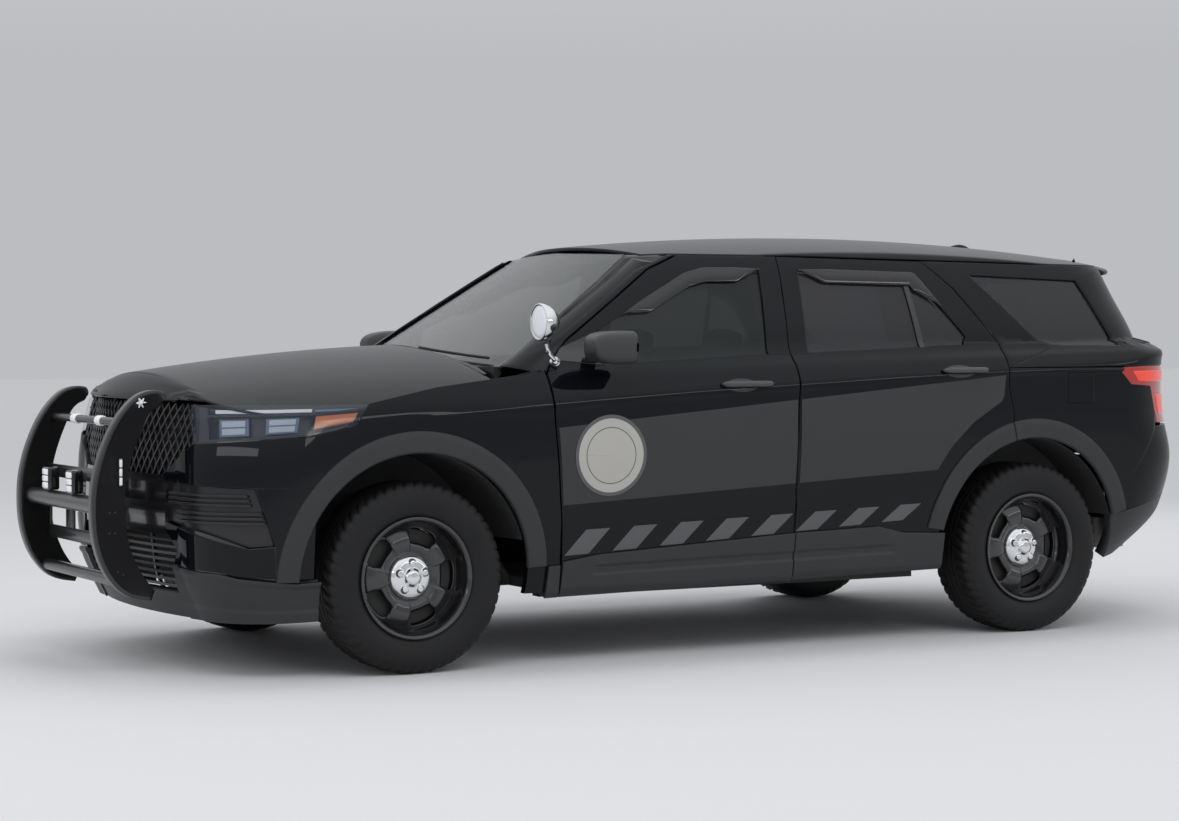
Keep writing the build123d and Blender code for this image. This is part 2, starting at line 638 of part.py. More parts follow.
save(grilles.part, "grilles")

valance_region = side_prism(VALANCE_SEAM + [(1100, 430), (1100, 150), (400, 150)])
rear_valance_region = side_prism(REAR_VALANCE_SEAM + [(REAR - 1300, 150), (REAR - 400, 150)])
with BuildPart() as bumper_valances:
    add((nose_shell & valance_region) - wheel_cut(0, WELL_RADIUS_BODY) - lower_cut)
    tail_shell = outer_body - body_space(BUMPER_WALL, open_top=True)
    add((tail_shell & rear_valance_region) - wheel_cut(REAR, WELL_RADIUS_BODY))
    mirror(about=Plane.XZ)
save(bumper_valances.part, "bumper_valances")

GATE_BUFFER_X = -1088
GATE_BUFFER_Y = 300
rear_bumper_region = side_prism([(x, z - SEAT) for x, z in REAR_SEAM]
                                + [(REAR - 1300, REAR_SEAM[-1][1] - SEAT)]
                                + [(x, z + SEAT) for x, z in reversed(REAR_VALANCE_SEAM)])
with BuildPart() as rear_bumper:
    add((tail_shell & rear_bumper_region) - wheel_cut(REAR, WELL_RADIUS_BODY) - gate_grown)
    with BuildSketch(Plane(origin=(FRONT_AXLE_X + REAR, 0, GATE_OUTLINE[0][1] - GAP - 8),
                           x_dir=(1, 0, 0), z_dir=(0, 0, 1))):
        with Locations((GATE_BUFFER_X, GATE_BUFFER_Y)):
            Rectangle(20, 50)
    extrude(amount=8 + GAP - SEAL)
    mirror(about=Plane.XZ)
save(rear_bumper.part, "rear_bumper")

# Arch flares on the body
front_flare = (trim_shell & front_flare_ring) & side_prism([(-642, 290), (-642, 1100), (700, 1100),
                                                          (700, 290)])
front_foot = trim_shell & side_prism([(-642, 290), (-642, 409), (-560, 404), (-400, 404),
                                      (-400, 290)])
front_foot = front_foot - wheel_cut(0, ARCH_RADIUS)
rear_flare = trim_shell & rear_flare_ring & side_prism([(REAR + 600, 300), (REAR + 600, 1100),
                                                      (REAR - 700, 1100), (REAR - 700, 300)])
rear_flare = rear_flare - rear_door_prism(GAP / 2, arch=ARCH_RADIUS - 2 * GAP)
with BuildPart() as arch_flares:
    add(front_flare + front_foot)
    add(rear_flare)
    mirror(about=Plane.XZ)
save(arch_flares.part, "arch_flares")

# Floor pan with sills, and the cowl with its firewall
with BuildPart() as floor_pan:
    with BuildSketch(SIDE):
        with BuildLine():
            top = [(FIREWALL - 11 - SEAT, 500), (FIREWALL - 120, FLOOR_TOP), (REAR + 290, FLOOR_TOP),
                   (REAR + 100, CARGO_TOP), (REAR - 960, CARGO_TOP)]
            under = [(x, z - FLOOR_WALL) for x, z in reversed(top)]
            Polyline(*top, *under, close=True)
        make_face()
    extrude(amount=CARGO_HALF, both=True)
    with BuildSketch(SIDE):
        with Locations(((FIREWALL - 120 + REAR + 640) / 2, FLOOR_TOP - FLOOR_WALL / 2)):
            Rectangle(FIREWALL - 120 - REAR - 640, FLOOR_WALL)
    extrude(amount=FLOOR_HALF, both=True)
    sill_length = FIREWALL - 160 - REAR - 560
    with BuildSketch(Plane(origin=(FRONT_AXLE_X + FIREWALL - 160, 0, 0), x_dir=(0, 1, 0),
                           z_dir=(1, 0, 0))):
        for y in (1, -1):
            with Locations((y * (SILL_INNER + SILL_OUTER) / 2, (SILL_TOP + SILL_FOOT) / 2)):
                Rectangle(SILL_OUTER - SILL_INNER, SILL_TOP - SILL_FOOT)
    extrude(amount=-sill_length)
    with BuildSketch(Plane(origin=(FRONT_AXLE_X, 0, SUBFRAME_TOP + SEAT), x_dir=(1, 0, 0),
                           z_dir=(0, 0, 1))):
        for y in (1, -1):
            with Locations(((RAIL_END + FIREWALL - 110) / 2, y * (RAIL_INNER + RAIL_OUTER) / 2)):
                Rectangle(RAIL_END - FIREWALL + 110, RAIL_OUTER - RAIL_INNER)
    extrude(amount=RAIL_TOP - SUBFRAME_TOP - SEAT)
save(floor_pan.part, "floor_pan")

COWL_TOP = 1196
WELL_TOP = 880
FRONT_WELL = 505
COWL_HALF = 728
with BuildPart() as cowl:
    with BuildSketch(SIDE):
        with BuildLine():
            Polyline((HOOD_BACK - GAP, COWL_TOP), (HOOD_BACK - GAP, COWL_TOP - 60),
                     (FIREWALL + 10, COWL_TOP - 60), (FIREWALL + 10, WELL_TOP),
                     (FIREWALL - 11, WELL_TOP), (FIREWALL - 11, COWL_TOP - 60),
                     (FIREWALL - 40, COWL_TOP - 30), (FIREWALL - 40, COWL_TOP), close=True)
        make_face()
    extrude(amount=COWL_HALF, both=True)
    with BuildSketch(SIDE):
        with Locations((FIREWALL, (WELL_TOP + 480) / 2)):
            Rectangle(21, WELL_TOP - 480)
    extrude(amount=FRONT_WELL - 15, both=True)
    with BuildSketch(Plane(origin=(FRONT_AXLE_X, 0, 0), x_dir=(1, 0, 0), z_dir=(0, 0, 1))):
        with BuildLine():
            ThreePointArc((HOOD_BACK_SIDE - GAP, -HOOD_BACK_Y), (HOOD_BACK - GAP, 0),
                          (HOOD_BACK_SIDE - GAP, HOOD_BACK_Y))
            Polyline((HOOD_BACK_SIDE - GAP, HOOD_BACK_Y), (FIREWALL - 200, HOOD_BACK_Y),
                     (FIREWALL - 200, -HOOD_BACK_Y), (HOOD_BACK_SIDE - GAP, -HOOD_BACK_Y))
        make_face()
    extrude(amount=1400, mode=Mode.INTERSECT)
save(cowl.part, "cowl_and_firewall")

# Wheel liners
LINER_OUTER = WELL_RADIUS_BODY - SEAT
LINER_WALL = 6
LINER_FOOT = TYRE_RADIUS + 130
LINER_REACH = 935
REAR_WELL = 690
liner_parts = []
for station, inner in ((0, FRONT_WELL), (REAR, REAR_WELL)):
    shell = wheel_cut(station, LINER_OUTER, inner, LINER_REACH)
    shell = shell - wheel_cut(station, LINER_OUTER - LINER_WALL, inner + LINER_WALL, LINER_REACH)
    shell = shell & side_prism([(station - 600, LINER_FOOT), (station - 600, 1100),
                                (station + 600, 1100), (station + 600, LINER_FOOT)])
    liner_parts.append(shell)
with BuildPart() as wheel_liners:
    for shell in liner_parts:
        add(shell)
    mirror(about=Plane.XZ)
save(wheel_liners.part, "wheel_liners")

# Engine block
with BuildPart() as engine_block:
    with BuildSketch(Plane(origin=(FRONT_AXLE_X, 0, SUBFRAME_TOP + SEAT), x_dir=(1, 0, 0),
                           z_dir=(0, 0, 1))):
        with Locations((60, 0)):
            RectangleRounded(620, 520, 60)
    extrude(amount=640)
save(engine_block.part, "engine_block")

# Front subframe with lower arms, knuckles and rear subframe with its arms
KNUCKLE_Y = 700
KNUCKLE_WIDTH = 44
ARM_ROOT = 420
ARM_FOOT = 242
ARM_WALL = 26
KNUCKLE_TOP = 190
knuckle_foot = TYRE_RADIUS - ARM_FOOT - ARM_WALL - SEAT
with BuildPart() as front_subframe:
    with BuildSketch(Plane(origin=(FRONT_AXLE_X, 0, SUBFRAME_FOOT), x_dir=(1, 0, 0),
                           z_dir=(0, 0, 1))):
        Rectangle(520, 2 * ARM_ROOT)
        Rectangle(320, 2 * ARM_ROOT - 240, mode=Mode.SUBTRACT)
    extrude(amount=SUBFRAME_TOP - SUBFRAME_FOOT)
    for y in (1, -1):
        with BuildSketch(Plane(origin=(FRONT_AXLE_X, 0, ARM_FOOT), x_dir=(1, 0, 0),
                               z_dir=(0, 0, 1))):
            with BuildLine():
                Polyline((-220, y * (ARM_ROOT - 20)), (-150, y * (ARM_ROOT - 20)),
                         (30, y * (KNUCKLE_Y - 60)), (30, y * (KNUCKLE_Y + KNUCKLE_WIDTH - 6)),
                         (-30, y * (KNUCKLE_Y + KNUCKLE_WIDTH - 6)), (-60, y * (KNUCKLE_Y - 80)),
                         (-240, y * (ARM_ROOT - 20)), close=True)
            make_face()
        extrude(amount=ARM_WALL)
save(front_subframe.part, "front_subframe")

HUB_REACH = 30
DISC_WALL = 12
SPINDLE_RADIUS = 52
hub_end = TRACK / 2 + HUB_REACH - DISC_WALL - SEAT
for side, sign in (("left", 1), ("right", -1)):
    with BuildPart() as knuckle:
        with BuildSketch(Plane(origin=(FRONT_AXLE_X, sign * KNUCKLE_Y, TYRE_RADIUS),
                               x_dir=(1, 0, 0), z_dir=(0, sign, 0))):
            with BuildLine():
                Polyline((-45, knuckle_foot * sign), (45, knuckle_foot * sign), (70, 0),
                         (45, -KNUCKLE_TOP * sign), (-45, -KNUCKLE_TOP * sign), (-70, 0),
                         close=True)
            make_face()
        extrude(amount=KNUCKLE_WIDTH)
        with BuildSketch(Plane(origin=(FRONT_AXLE_X, sign * (KNUCKLE_Y + KNUCKLE_WIDTH),
                                       TYRE_RADIUS), x_dir=(1, 0, 0), z_dir=(0, sign, 0))):
            Circle(SPINDLE_RADIUS)
        extrude(amount=hub_end - KNUCKLE_Y - KNUCKLE_WIDTH)
    save(knuckle.part, f"steering_knuckle_{side}")

with BuildPart() as rear_subframe:
    with BuildSketch(Plane(origin=(FRONT_AXLE_X + REAR, 0, 300), x_dir=(1, 0, 0),
                           z_dir=(0, 0, 1))):
        Rectangle(460, 760)
        Rectangle(260, 480, mode=Mode.SUBTRACT)
    extrude(amount=80)
    for y in (1, -1):
        with BuildSketch(Plane(origin=(FRONT_AXLE_X + REAR, 0, 306), x_dir=(1, 0, 0),
                               z_dir=(0, 0, 1))):
            with Locations((0, y * 520)):
                Rectangle(150, 320)
        extrude(amount=40)
        with BuildSketch(Plane(origin=(FRONT_AXLE_X + REAR, y * 672, TYRE_RADIUS),
                               x_dir=(1, 0, 0), z_dir=(0, y, 0))):
            Circle(95)
        extrude(amount=72)
        with BuildSketch(Plane(origin=(FRONT_AXLE_X + REAR, y * 744, TYRE_RADIUS),
                               x_dir=(1, 0, 0), z_dir=(0, y, 0))):
            Circle(SPINDLE_RADIUS)
        extrude(amount=hub_end - 744)
    with BuildSketch(Plane(origin=(FRONT_AXLE_X + REAR, 0, 380), x_dir=(1, 0, 0),
                           z_dir=(0, 0, 1))):
        with GridLocations(0, 640, 1, 2):
            with Locations((-200, 0), (60, 0)):
                Circle(32)
    extrude(amount=CARGO_TOP - FLOOR_WALL - SEAT - 380)
save(rear_subframe.part, "rear_subframe")

# Fuel tank and exhaust
with BuildPart() as fuel_tank:
    with BuildSketch(Plane(origin=(FRONT_AXLE_X + REAR + 800, -330, 232), x_dir=(1, 0, 0),
                           z_dir=(0, 0, 1))):
        RectangleRounded(560, 560, 60)
    extrude(amount=63.6)
save(fuel_tank.part, "fuel_tank")

PIPE = 30
PIPE_Z = FLOOR_TOP - FLOOR_WALL - PIPE - SEAT
with BuildPart() as exhaust:
    with BuildLine() as route:
        FilletPolyline((FRONT_AXLE_X - 600, 80, PIPE_Z), (FRONT_AXLE_X + REAR + 900, 80, PIPE_Z),
                       (FRONT_AXLE_X + REAR + 480, 300, PIPE_Z),
                       (FRONT_AXLE_X + REAR - 420, 300, PIPE_Z),
                       (FRONT_AXLE_X + REAR - 700, 400, 330), radius=90)
    with BuildSketch(Plane(route.line @ 0, z_dir=route.line % 0)):
        Circle(PIPE)
    sweep(path=route.line)
    with BuildSketch(Plane(origin=(FRONT_AXLE_X + REAR - 700, 480, 330), x_dir=(1, 0, 0),
                           z_dir=(0, 0, 1))):
        RectangleRounded(220, 420, 80)
    extrude(amount=140)
save(exhaust.part, "exhaust")

# Wheels: each a tyre and a steel rim with its hub cap
BEAD = 100
RIM_HALF = 104
LIP_WALL = 8
BARREL_WALL = 8
WELL_RADIUS = 206
DISC_REACH = 48
WINDOW_COUNT = 5
TREAD_HALF = 92
SIDEWALL = [(RIM_HALF - 2, RIM_LIP + 3), (118, 262), (TYRE_WIDTH / 2, 302), (123, 342),
            (112, 364), (TREAD_HALF, TYRE_RADIUS)]
CAP_WALL = 6


for axle, station in (("front", 0), ("rear", REAR)):
    for side, sign in (("left", 1), ("right", -1)):
        spin = Axis((FRONT_AXLE_X + station, 0, TYRE_RADIUS), (0, 1, 0))
        profile_plane = Plane(origin=(FRONT_AXLE_X + station, sign * TRACK / 2, TYRE_RADIUS),
                              x_dir=(0, sign, 0), z_dir=(sign, 0, 0))
        face_plane = Plane(origin=(FRONT_AXLE_X + station, sign * TRACK / 2, TYRE_RADIUS),
                           x_dir=(1, 0, 0), z_dir=(0, sign, 0))
        with BuildPart() as tyre:
            with BuildSketch(profile_plane):
                with BuildLine():
                    half = [(BEAD, RIM_RADIUS + SEAT)] + SIDEWALL
                    other = [(-y, r) for y, r in reversed(half)]
                    Polyline(*half, *other, close=True)
                make_face()
            revolve(axis=spin)
        save(tyre.part, f"tyre_{axle}_{side}")
        with BuildPart() as rim:
            with BuildSketch(profile_plane):
                with BuildLine():
                    Polyline((-RIM_HALF - LIP_WALL, RIM_LIP), (-RIM_HALF, RIM_LIP),
                             (-RIM_HALF, RIM_RADIUS), (-60, RIM_RADIUS), (-46, WELL_RADIUS),
                             (20, WELL_RADIUS), (40, RIM_RADIUS), (RIM_HALF, RIM_RADIUS),
                             (RIM_HALF, RIM_LIP), (RIM_HALF + LIP_WALL, RIM_LIP),
                             (RIM_HALF + LIP_WALL, RIM_RADIUS - BARREL_WALL),
                             (44, RIM_RADIUS - BARREL_WALL), (24, WELL_RADIUS - BARREL_WALL),
                             (-50, WELL_RADIUS - BARREL_WALL), (-64, RIM_RADIUS - BARREL_WALL),
                             (-RIM_HALF - LIP_WALL, RIM_RADIUS - BARREL_WALL), close=True)
                make_face()
                with BuildLine():
                    Polyline((HUB_REACH - DISC_WALL, 0), (HUB_REACH - DISC_WALL, 84),
                             (DISC_REACH - 10, 118), (DISC_REACH - 10, 150), (16, WELL_RADIUS - 6), (32, WELL_RADIUS - 2),
                             (DISC_REACH, 154), (DISC_REACH, 112), (HUB_REACH, 80),
                             (HUB_REACH, 0), close=True)
                make_face()
            revolve(axis=spin)
            with BuildSketch(face_plane):
                with PolarLocations(158, WINDOW_COUNT, start_angle=36):
                    Trapezoid(86, 44, 70, rotation=-90)
            extrude(amount=120, mode=Mode.SUBTRACT)
            with BuildSketch(profile_plane):
                with BuildLine():
                    Polyline((HUB_REACH + SEAT, 0), (HUB_REACH + SEAT, CAP_RADIUS - 10),
                             (HUB_REACH + 24, CAP_RADIUS), (HUB_REACH + 40, CAP_RADIUS - 10),
                             (HUB_REACH + 52, CAP_RADIUS - 34), (HUB_REACH + 56, 0), close=True)
                make_face()
            revolve(axis=spin)
        save(rim.part, f"wheel_{axle}_{side}")

# Dashboard and steering wheel
DASH_BACK = -830
DASH_HALF = 700
WHEEL_STATION = -960
WHEEL_Y = 380
WHEEL_Z = 1010
WHEEL_RAKE = 24
RING_RADIUS = 185
COLUMN_REACH = 90
steer_plane = Plane(origin=(FRONT_AXLE_X + WHEEL_STATION, WHEEL_Y, WHEEL_Z), x_dir=(0, 1, 0),
                    z_dir=(-math.cos(math.radians(WHEEL_RAKE)), 0,
                           math.sin(math.radians(WHEEL_RAKE))))
with BuildPart() as dashboard:
    with BuildSketch(SIDE):
        with BuildLine():
            Polyline((-520, 760), (-560, 1120), (-700, 1140), (DASH_BACK + 20, 1110),
                     (DASH_BACK, 980), (DASH_BACK + 90, 760), close=True)
        make_face()
    extrude(amount=DASH_HALF, both=True)
    with BuildSketch(SIDE):
        with BuildLine():
            Polyline((-600, 762), (DASH_BACK + 60, 762), (-1150, 640), (-1480, 640),
                     (-1480, FLOOR_TOP + SEAT), (-600, FLOOR_TOP + SEAT), close=True)
        make_face()
    extrude(amount=110, both=True)
    with BuildSketch(steer_plane.offset(-COLUMN_REACH - SEAL)):
        Circle(42)
    extrude(amount=-90)
save(dashboard.part, "dashboard")

with BuildPart() as steering_wheel:
    with BuildSketch(steer_plane):
        Circle(RING_RADIUS + 14)
        Circle(RING_RADIUS - 14, mode=Mode.SUBTRACT)
        RectangleRounded(2 * RING_RADIUS, 46, 10)
        Circle(72)
    extrude(amount=13, both=True)
    with BuildSketch(steer_plane):
        Circle(34)
    extrude(amount=-COLUMN_REACH)
save(steering_wheel.part, "steering_wheel")

# Seats
SEAT_Y = 380
SEAT_HALF = 250
SEAT_FRONT = -1120
SEAT_DEPTH = 500
BENCH_FRONT = REAR + 900


def seat_solid(front, y, half, base, height, back_top, head):
    """Cushion, back and head restraint as one block form across its width."""
    with BuildPart() as form:
        with BuildSketch(SIDE.offset(-(y - half))):
            with BuildLine():
                Polyline((front, base), (front, base + height), (front - SEAT_DEPTH + 60,
                         base + height - 20), (front - SEAT_DEPTH - 130, back_top),
                         (front - SEAT_DEPTH - 230, back_top), (front - SEAT_DEPTH - 90, base),
                         close=True)
            make_face()
        extrude(amount=-2 * half)
        fillet(form.edges().filter_by(Axis.Y), 24)
        if head:
            with BuildSketch(SIDE.offset(-(y - 120))):
                with Locations((front - SEAT_DEPTH - 190, back_top + 85)):
                    RectangleRounded(90, 176, 30)
            extrude(amount=-240)
    return form.part


with BuildPart() as front_seats:
    add(seat_solid(SEAT_FRONT, SEAT_Y, SEAT_HALF, 480, 190, 1180, True))
    add(seat_solid(SEAT_FRONT, -SEAT_Y, SEAT_HALF, 480, 190, 1180, True))
    for y in (SEAT_Y, -SEAT_Y):
        with BuildSketch(Plane(origin=(FRONT_AXLE_X + SEAT_FRONT - 260, y, FLOOR_TOP),
                               x_dir=(1, 0, 0), z_dir=(0, 0, 1))):
            with Locations((0, 190), (0, -190)):
                Rectangle(420, 40)
        extrude(amount=146)
save(front_seats.part, "front_seats")
with BuildPart() as rear_bench:
    add(seat_solid(BENCH_FRONT, 0, 620, FLOOR_TOP + SEAT, 330, 1200, False))
save(rear_bench.part, "rear_bench")

# Push bumper
PUSH_LINE = [(852, 1112), (915, 1111), (982, 1086), (1112, 912), (1160, 700), (1152, 560),
             (1100, 400), (1000, 300), (920, 292), (900, 330)]
PUSH_INNER = [(960, 420), (1010, 520), (1030, 700), (1000, 860), (948, 960), (948, 1040),
              (852, 1060)]
TUBE_HALF = UPRIGHT_Y - UPRIGHT_WALL - SEAT
TUBES = [(1004, 985, 20), (1100, 662, 38), (1040, 372, 26)]
with BuildPart() as push_bumper:
    for y in (UPRIGHT_Y, -UPRIGHT_Y + UPRIGHT_WALL):
        with BuildSketch(SIDE.offset(-(y - UPRIGHT_WALL))):
            with BuildLine():
                Polyline(*PUSH_LINE, *PUSH_INNER, close=True)
            make_face()
        extrude(amount=-UPRIGHT_WALL)
    with BuildSketch(SIDE):
        for x, z, r in TUBES:
            with Locations((x, z)):
                Circle(r)
    extrude(amount=UPRIGHT_Y - UPRIGHT_WALL / 2, both=True)
    with BuildSketch(Plane(origin=(FRONT_AXLE_X + 1026, 0, 640), x_dir=(0, 1, 0),
                           z_dir=(1, 0, 0))):
        Rectangle(2 * UPRIGHT_Y - UPRIGHT_WALL, 300)
        with GridLocations(300, 120, 3, 2):
            RectangleRounded(200, 80, 20, mode=Mode.SUBTRACT)
    extrude(amount=10)
    with BuildSketch(Plane(origin=(FRONT_AXLE_X + RAIL_END + SEAT, 0, 0), x_dir=(0, 1, 0),
                           z_dir=(1, 0, 0))):
        for y in (1, -1):
            with Locations((y * (UPRIGHT_Y - UPRIGHT_WALL / 2), BRACKET_Z)):
                Rectangle(UPRIGHT_WALL, BRACKET_HEIGHT)
    extrude(amount=BRACKET_REACH - RAIL_END - SEAT)
save(push_bumper.part, "push_bumper")

LAMP_SIZE = 84
with BuildPart() as push_lamps:
    with BuildSketch(Plane(origin=(FRONT_AXLE_X + 1100 + 38 + SEAT, 0, 720), x_dir=(0, 1, 0),
                           z_dir=(1, 0, 0))):
        with Locations((150, 0), (-150, 0)):
            RectangleRounded(LAMP_SIZE, 60, 10)
    extrude(amount=-44)
    add(push_bumper.part, mode=Mode.SUBTRACT)
save(push_lamps.part, "push_bumper_lamps")

# Spot lamp on the left windscreen pillar
SPOT = (-572, 948, 1377)
SPOT_RADIUS = 75
SPOT_DROP = 150
with BuildPart() as spot_lamp:
    spot_plane = Plane(origin=(FRONT_AXLE_X + SPOT[0], SPOT[1], SPOT[2]), x_dir=(0, 1, 0),
                       z_dir=(1, 0, 0))
    with BuildSketch(spot_plane.offset(28)):
        Circle(SPOT_RADIUS)
    with BuildSketch(spot_plane):
        Circle(SPOT_RADIUS)
    with BuildSketch(spot_plane.offset(-62)):
        Circle(34)
    loft(ruled=True)
    with BuildSketch(Plane(origin=(FRONT_AXLE_X + SPOT[0], SPOT[1], SPOT[2]), x_dir=(1, 0, 0),
                           z_dir=(0, 0, 1))):
        Circle(9)
    extrude(amount=-SPOT_DROP)
    with BuildSketch(Plane(origin=(FRONT_AXLE_X + SPOT[0], SPOT[1], SPOT[2] - SPOT_DROP),
                           x_dir=(1, 0, 0), z_dir=(0, -1, 0))):
        Circle(11)
    extrude(amount=150)
    add(cabin_space(-SEAL), mode=Mode.SUBTRACT)
save(spot_lamp.part, "spot_lamp")
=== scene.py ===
"""Looks for a black patrol utility car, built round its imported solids.

Stations are metres ahead of the front axle, heights are metres above the ground, and the
left side has positive Y. Each outline table keeps the millimetres it is drawn in.
"""

import logging
import math
from dataclasses import dataclass, field
from enum import Enum
from typing import Callable, Sequence

import bmesh
import bpy
import numpy as np
from mathutils import Matrix, Vector


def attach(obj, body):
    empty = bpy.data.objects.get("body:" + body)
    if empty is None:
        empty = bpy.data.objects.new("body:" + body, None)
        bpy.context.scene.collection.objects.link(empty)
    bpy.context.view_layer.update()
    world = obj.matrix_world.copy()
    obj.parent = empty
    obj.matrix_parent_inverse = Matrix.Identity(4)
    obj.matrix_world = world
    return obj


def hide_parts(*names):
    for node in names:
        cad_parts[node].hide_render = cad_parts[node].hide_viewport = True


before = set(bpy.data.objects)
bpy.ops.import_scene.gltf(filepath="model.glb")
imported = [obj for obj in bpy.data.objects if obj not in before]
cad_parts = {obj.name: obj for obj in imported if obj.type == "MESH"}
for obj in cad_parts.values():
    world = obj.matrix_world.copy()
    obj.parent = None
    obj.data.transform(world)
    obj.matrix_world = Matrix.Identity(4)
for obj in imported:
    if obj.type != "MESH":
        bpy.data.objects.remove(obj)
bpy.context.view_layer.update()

LOG = logging.getLogger("patrol_car")

Points = Sequence[tuple[float, float]]
Grid = np.ndarray

MM = 0.001
AXLE_X = 1.4975
REAR = -3025.0
TRACK = 1702.0
AXLE_Z = 376.0
ARCH_RADIUS = 487.0
FLARE_RADIUS = 578.0
SKIN_LIFT = 1.6
WELD = 0.00002
CABIN_FOOT = 1150.0
BODY_HEAD = 1290.0
JOIN_BLEND = 8.0
ANGLE_SCALE = 800.0
HALVINGS = 14


class Side(Enum):
    """Side of the car, with the sign of its Y."""

    LEFT = 1
    RIGHT = -1

    @property
    def word(self) -> str:
        """The side's name as the record's nodes spell it."""
        return self.name.lower()


# Finishes


@dataclass(frozen=True)
class Finish:
    """A procedural finish made from one shader and two scales of noise.

    Args:
        name: name of the material.
        slot: the record's slot that this finish is usual for.
        colour: base colour.
        rough: mean roughness.
        metal: metallic share.
        coat: clear coat share.
        coat_rough: roughness of the coat.
        grain: cells per metre of the fine bump.
        bump: depth of the fine bump in metres.
        dust: share of pale dust in the broad noise.
        alpha: opacity.
        sheen: cloth sheen.
        glow: emission strength.
        spread: half range of the roughness that the broad noise gives.
        specular: reflection of the base layer.
        coat_ior: refractive index of the clear coat.
    """

    name: str
    slot: str
    colour: tuple[float, float, float]
    rough: float = 0.4
    metal: float = 0.0
    coat: float = 0.0
    coat_rough: float = 0.03
    grain: float = 900.0
    bump: float = 0.0
    dust: float = 0.0
    alpha: float = 1.0
    sheen: float = 0.0
    glow: float = 0.0
    spread: float = 0.03
    specular: float = 0.5
    coat_ior: float = 1.5

    def material(self) -> bpy.types.Material:
        """Builds the finish once and returns it.

        Returns:
            The material of this finish.
        """
        found = bpy.data.materials.get(self.name)
        if found:
            return found
        made = bpy.data.materials.new(self.name)
        made.use_nodes = True
        tree = made.node_tree
        shader = tree.nodes["Principled BSDF"]
        values = {"Metallic": self.metal, "Coat Weight": self.coat, "Coat Roughness": self.coat_rough,
                  "Alpha": self.alpha, "Sheen Weight": self.sheen, "Emission Strength": self.glow,
                  "Specular IOR Level": self.specular, "Coat IOR": self.coat_ior}
        for socket, value in values.items():
            shader.inputs[socket].default_value = value
        if self.glow:
            shader.inputs["Emission Color"].default_value = (*self.colour, 1)
        place = tree.nodes.new("ShaderNodeTexCoord")
        broad = self._noise(tree, place, 7.0, 4.0)
        tint = tree.nodes.new("ShaderNodeMix")
        tint.data_type = "RGBA"
        tint.inputs["A"].default_value = (*self.colour, 1)
        paler = tuple(min(1.0, c + self.dust * (0.35 - 0.3 * c)) for c in self.colour)
        tint.inputs["B"].default_value = (*paler, 1)
        tree.links.new(broad.outputs["Fac"], tint.inputs["Factor"])
        tree.links.new(tint.outputs["Result"], shader.inputs["Base Color"])
        ranged = tree.nodes.new("ShaderNodeMapRange")
        ranged.inputs["To Min"].default_value = max(0.0, self.rough - self.spread)
        ranged.inputs["To Max"].default_value = self.rough + self.spread
        tree.links.new(broad.outputs["Fac"], ranged.inputs["Value"])
        tree.links.new(ranged.outputs["Result"], shader.inputs["Roughness"])
        if self.bump:
            fine = self._noise(tree, place, self.grain, 2.0)
            relief = tree.nodes.new("ShaderNodeBump")
            relief.inputs["Distance"].default_value = self.bump
            relief.inputs["Strength"].default_value = 1.0
            tree.links.new(fine.outputs["Fac"], relief.inputs["Height"])
            tree.links.new(relief.outputs["Normal"], shader.inputs["Normal"])
        return made

    @staticmethod
    def _noise(tree: bpy.types.NodeTree, place: bpy.types.Node, scale: float,
               detail: float) -> bpy.types.Node:
        """Adds noise on Object coordinates."""
        node = tree.nodes.new("ShaderNodeTexNoise")
        node.inputs["Scale"].default_value = scale
        node.inputs["Detail"].default_value = detail
        tree.links.new(place.outputs["Object"], node.inputs["Vector"])
        return node


GLOSS_BLACK = Finish("gloss_black_paint", "body_paint", (0.0026, 0.0030, 0.0048), 0.30, coat=0.58,
                     coat_rough=0.012, dust=0.004, grain=1400, bump=0.000001, specular=0.0,
                     coat_ior=1.46)
WHEEL_BLACK = Finish("wheel_black_enamel", "wheel_paint", (0.004, 0.004, 0.005), 0.20, coat=0.9,
                     coat_rough=0.04, dust=0.03, grain=1500, bump=0.00002)
CLADDING = Finish("grained_dark_cladding", "cladding", (0.022, 0.023, 0.025), 0.46, dust=0.02,
                  grain=1700, bump=0.00008, specular=0.4)
MIRROR_SHELL = Finish("grained_mirror_shell", "cladding", (0.026, 0.027, 0.029), 0.42, dust=0.02,
                      grain=1500, bump=0.00010)
GLOSS_PLASTIC = Finish("gloss_black_plastic", "push_black", (0.006, 0.006, 0.007), 0.16, coat=0.5,
                       dust=0.01)
GRILLE_BLACK = Finish("grille_black", "cladding", (0.010, 0.010, 0.011), 0.30, dust=0.02, grain=1200,
                      bump=0.00003)
PUSH_BLACK = Finish("powder_black_steel", "push_black", (0.012, 0.012, 0.013), 0.34, coat=0.35,
                    coat_rough=0.2, dust=0.02, grain=2200, bump=0.00006)
FRONT_GLASS = Finish("front_tinted_glass", "glass", (0.010, 0.014, 0.015), 0.03, coat=0.25,
                     coat_rough=0.0, alpha=0.58, spread=0.01, specular=0.3)
SCREEN_GLASS = Finish("windscreen_glass", "privacy_glass", (0.012, 0.018, 0.016), 0.03, coat=1.0,
                      coat_rough=0.0, alpha=0.45, dust=0.01, spread=0.01)
PRIVACY_GLASS = Finish("privacy_glass", "privacy_glass", (0.003, 0.003, 0.004), 0.03, coat=0.2,
                       coat_rough=0.0, alpha=0.94, spread=0.01, specular=0.22)
LENS = Finish("clear_lens", "lamp_clear", (0.05, 0.07, 0.10), 0.03, coat=1.0, coat_rough=0.0,
              alpha=0.16, spread=0.01)
RUBBER = Finish("tyre_rubber", "tyre", (0.0075, 0.0075, 0.008), 0.50, dust=0.02, grain=700,
                bump=0.00015, spread=0.08, specular=0.25)
SEAL_RUBBER = Finish("seal_rubber", "cladding", (0.010, 0.010, 0.010), 0.7, dust=0.02, bump=0.00005)
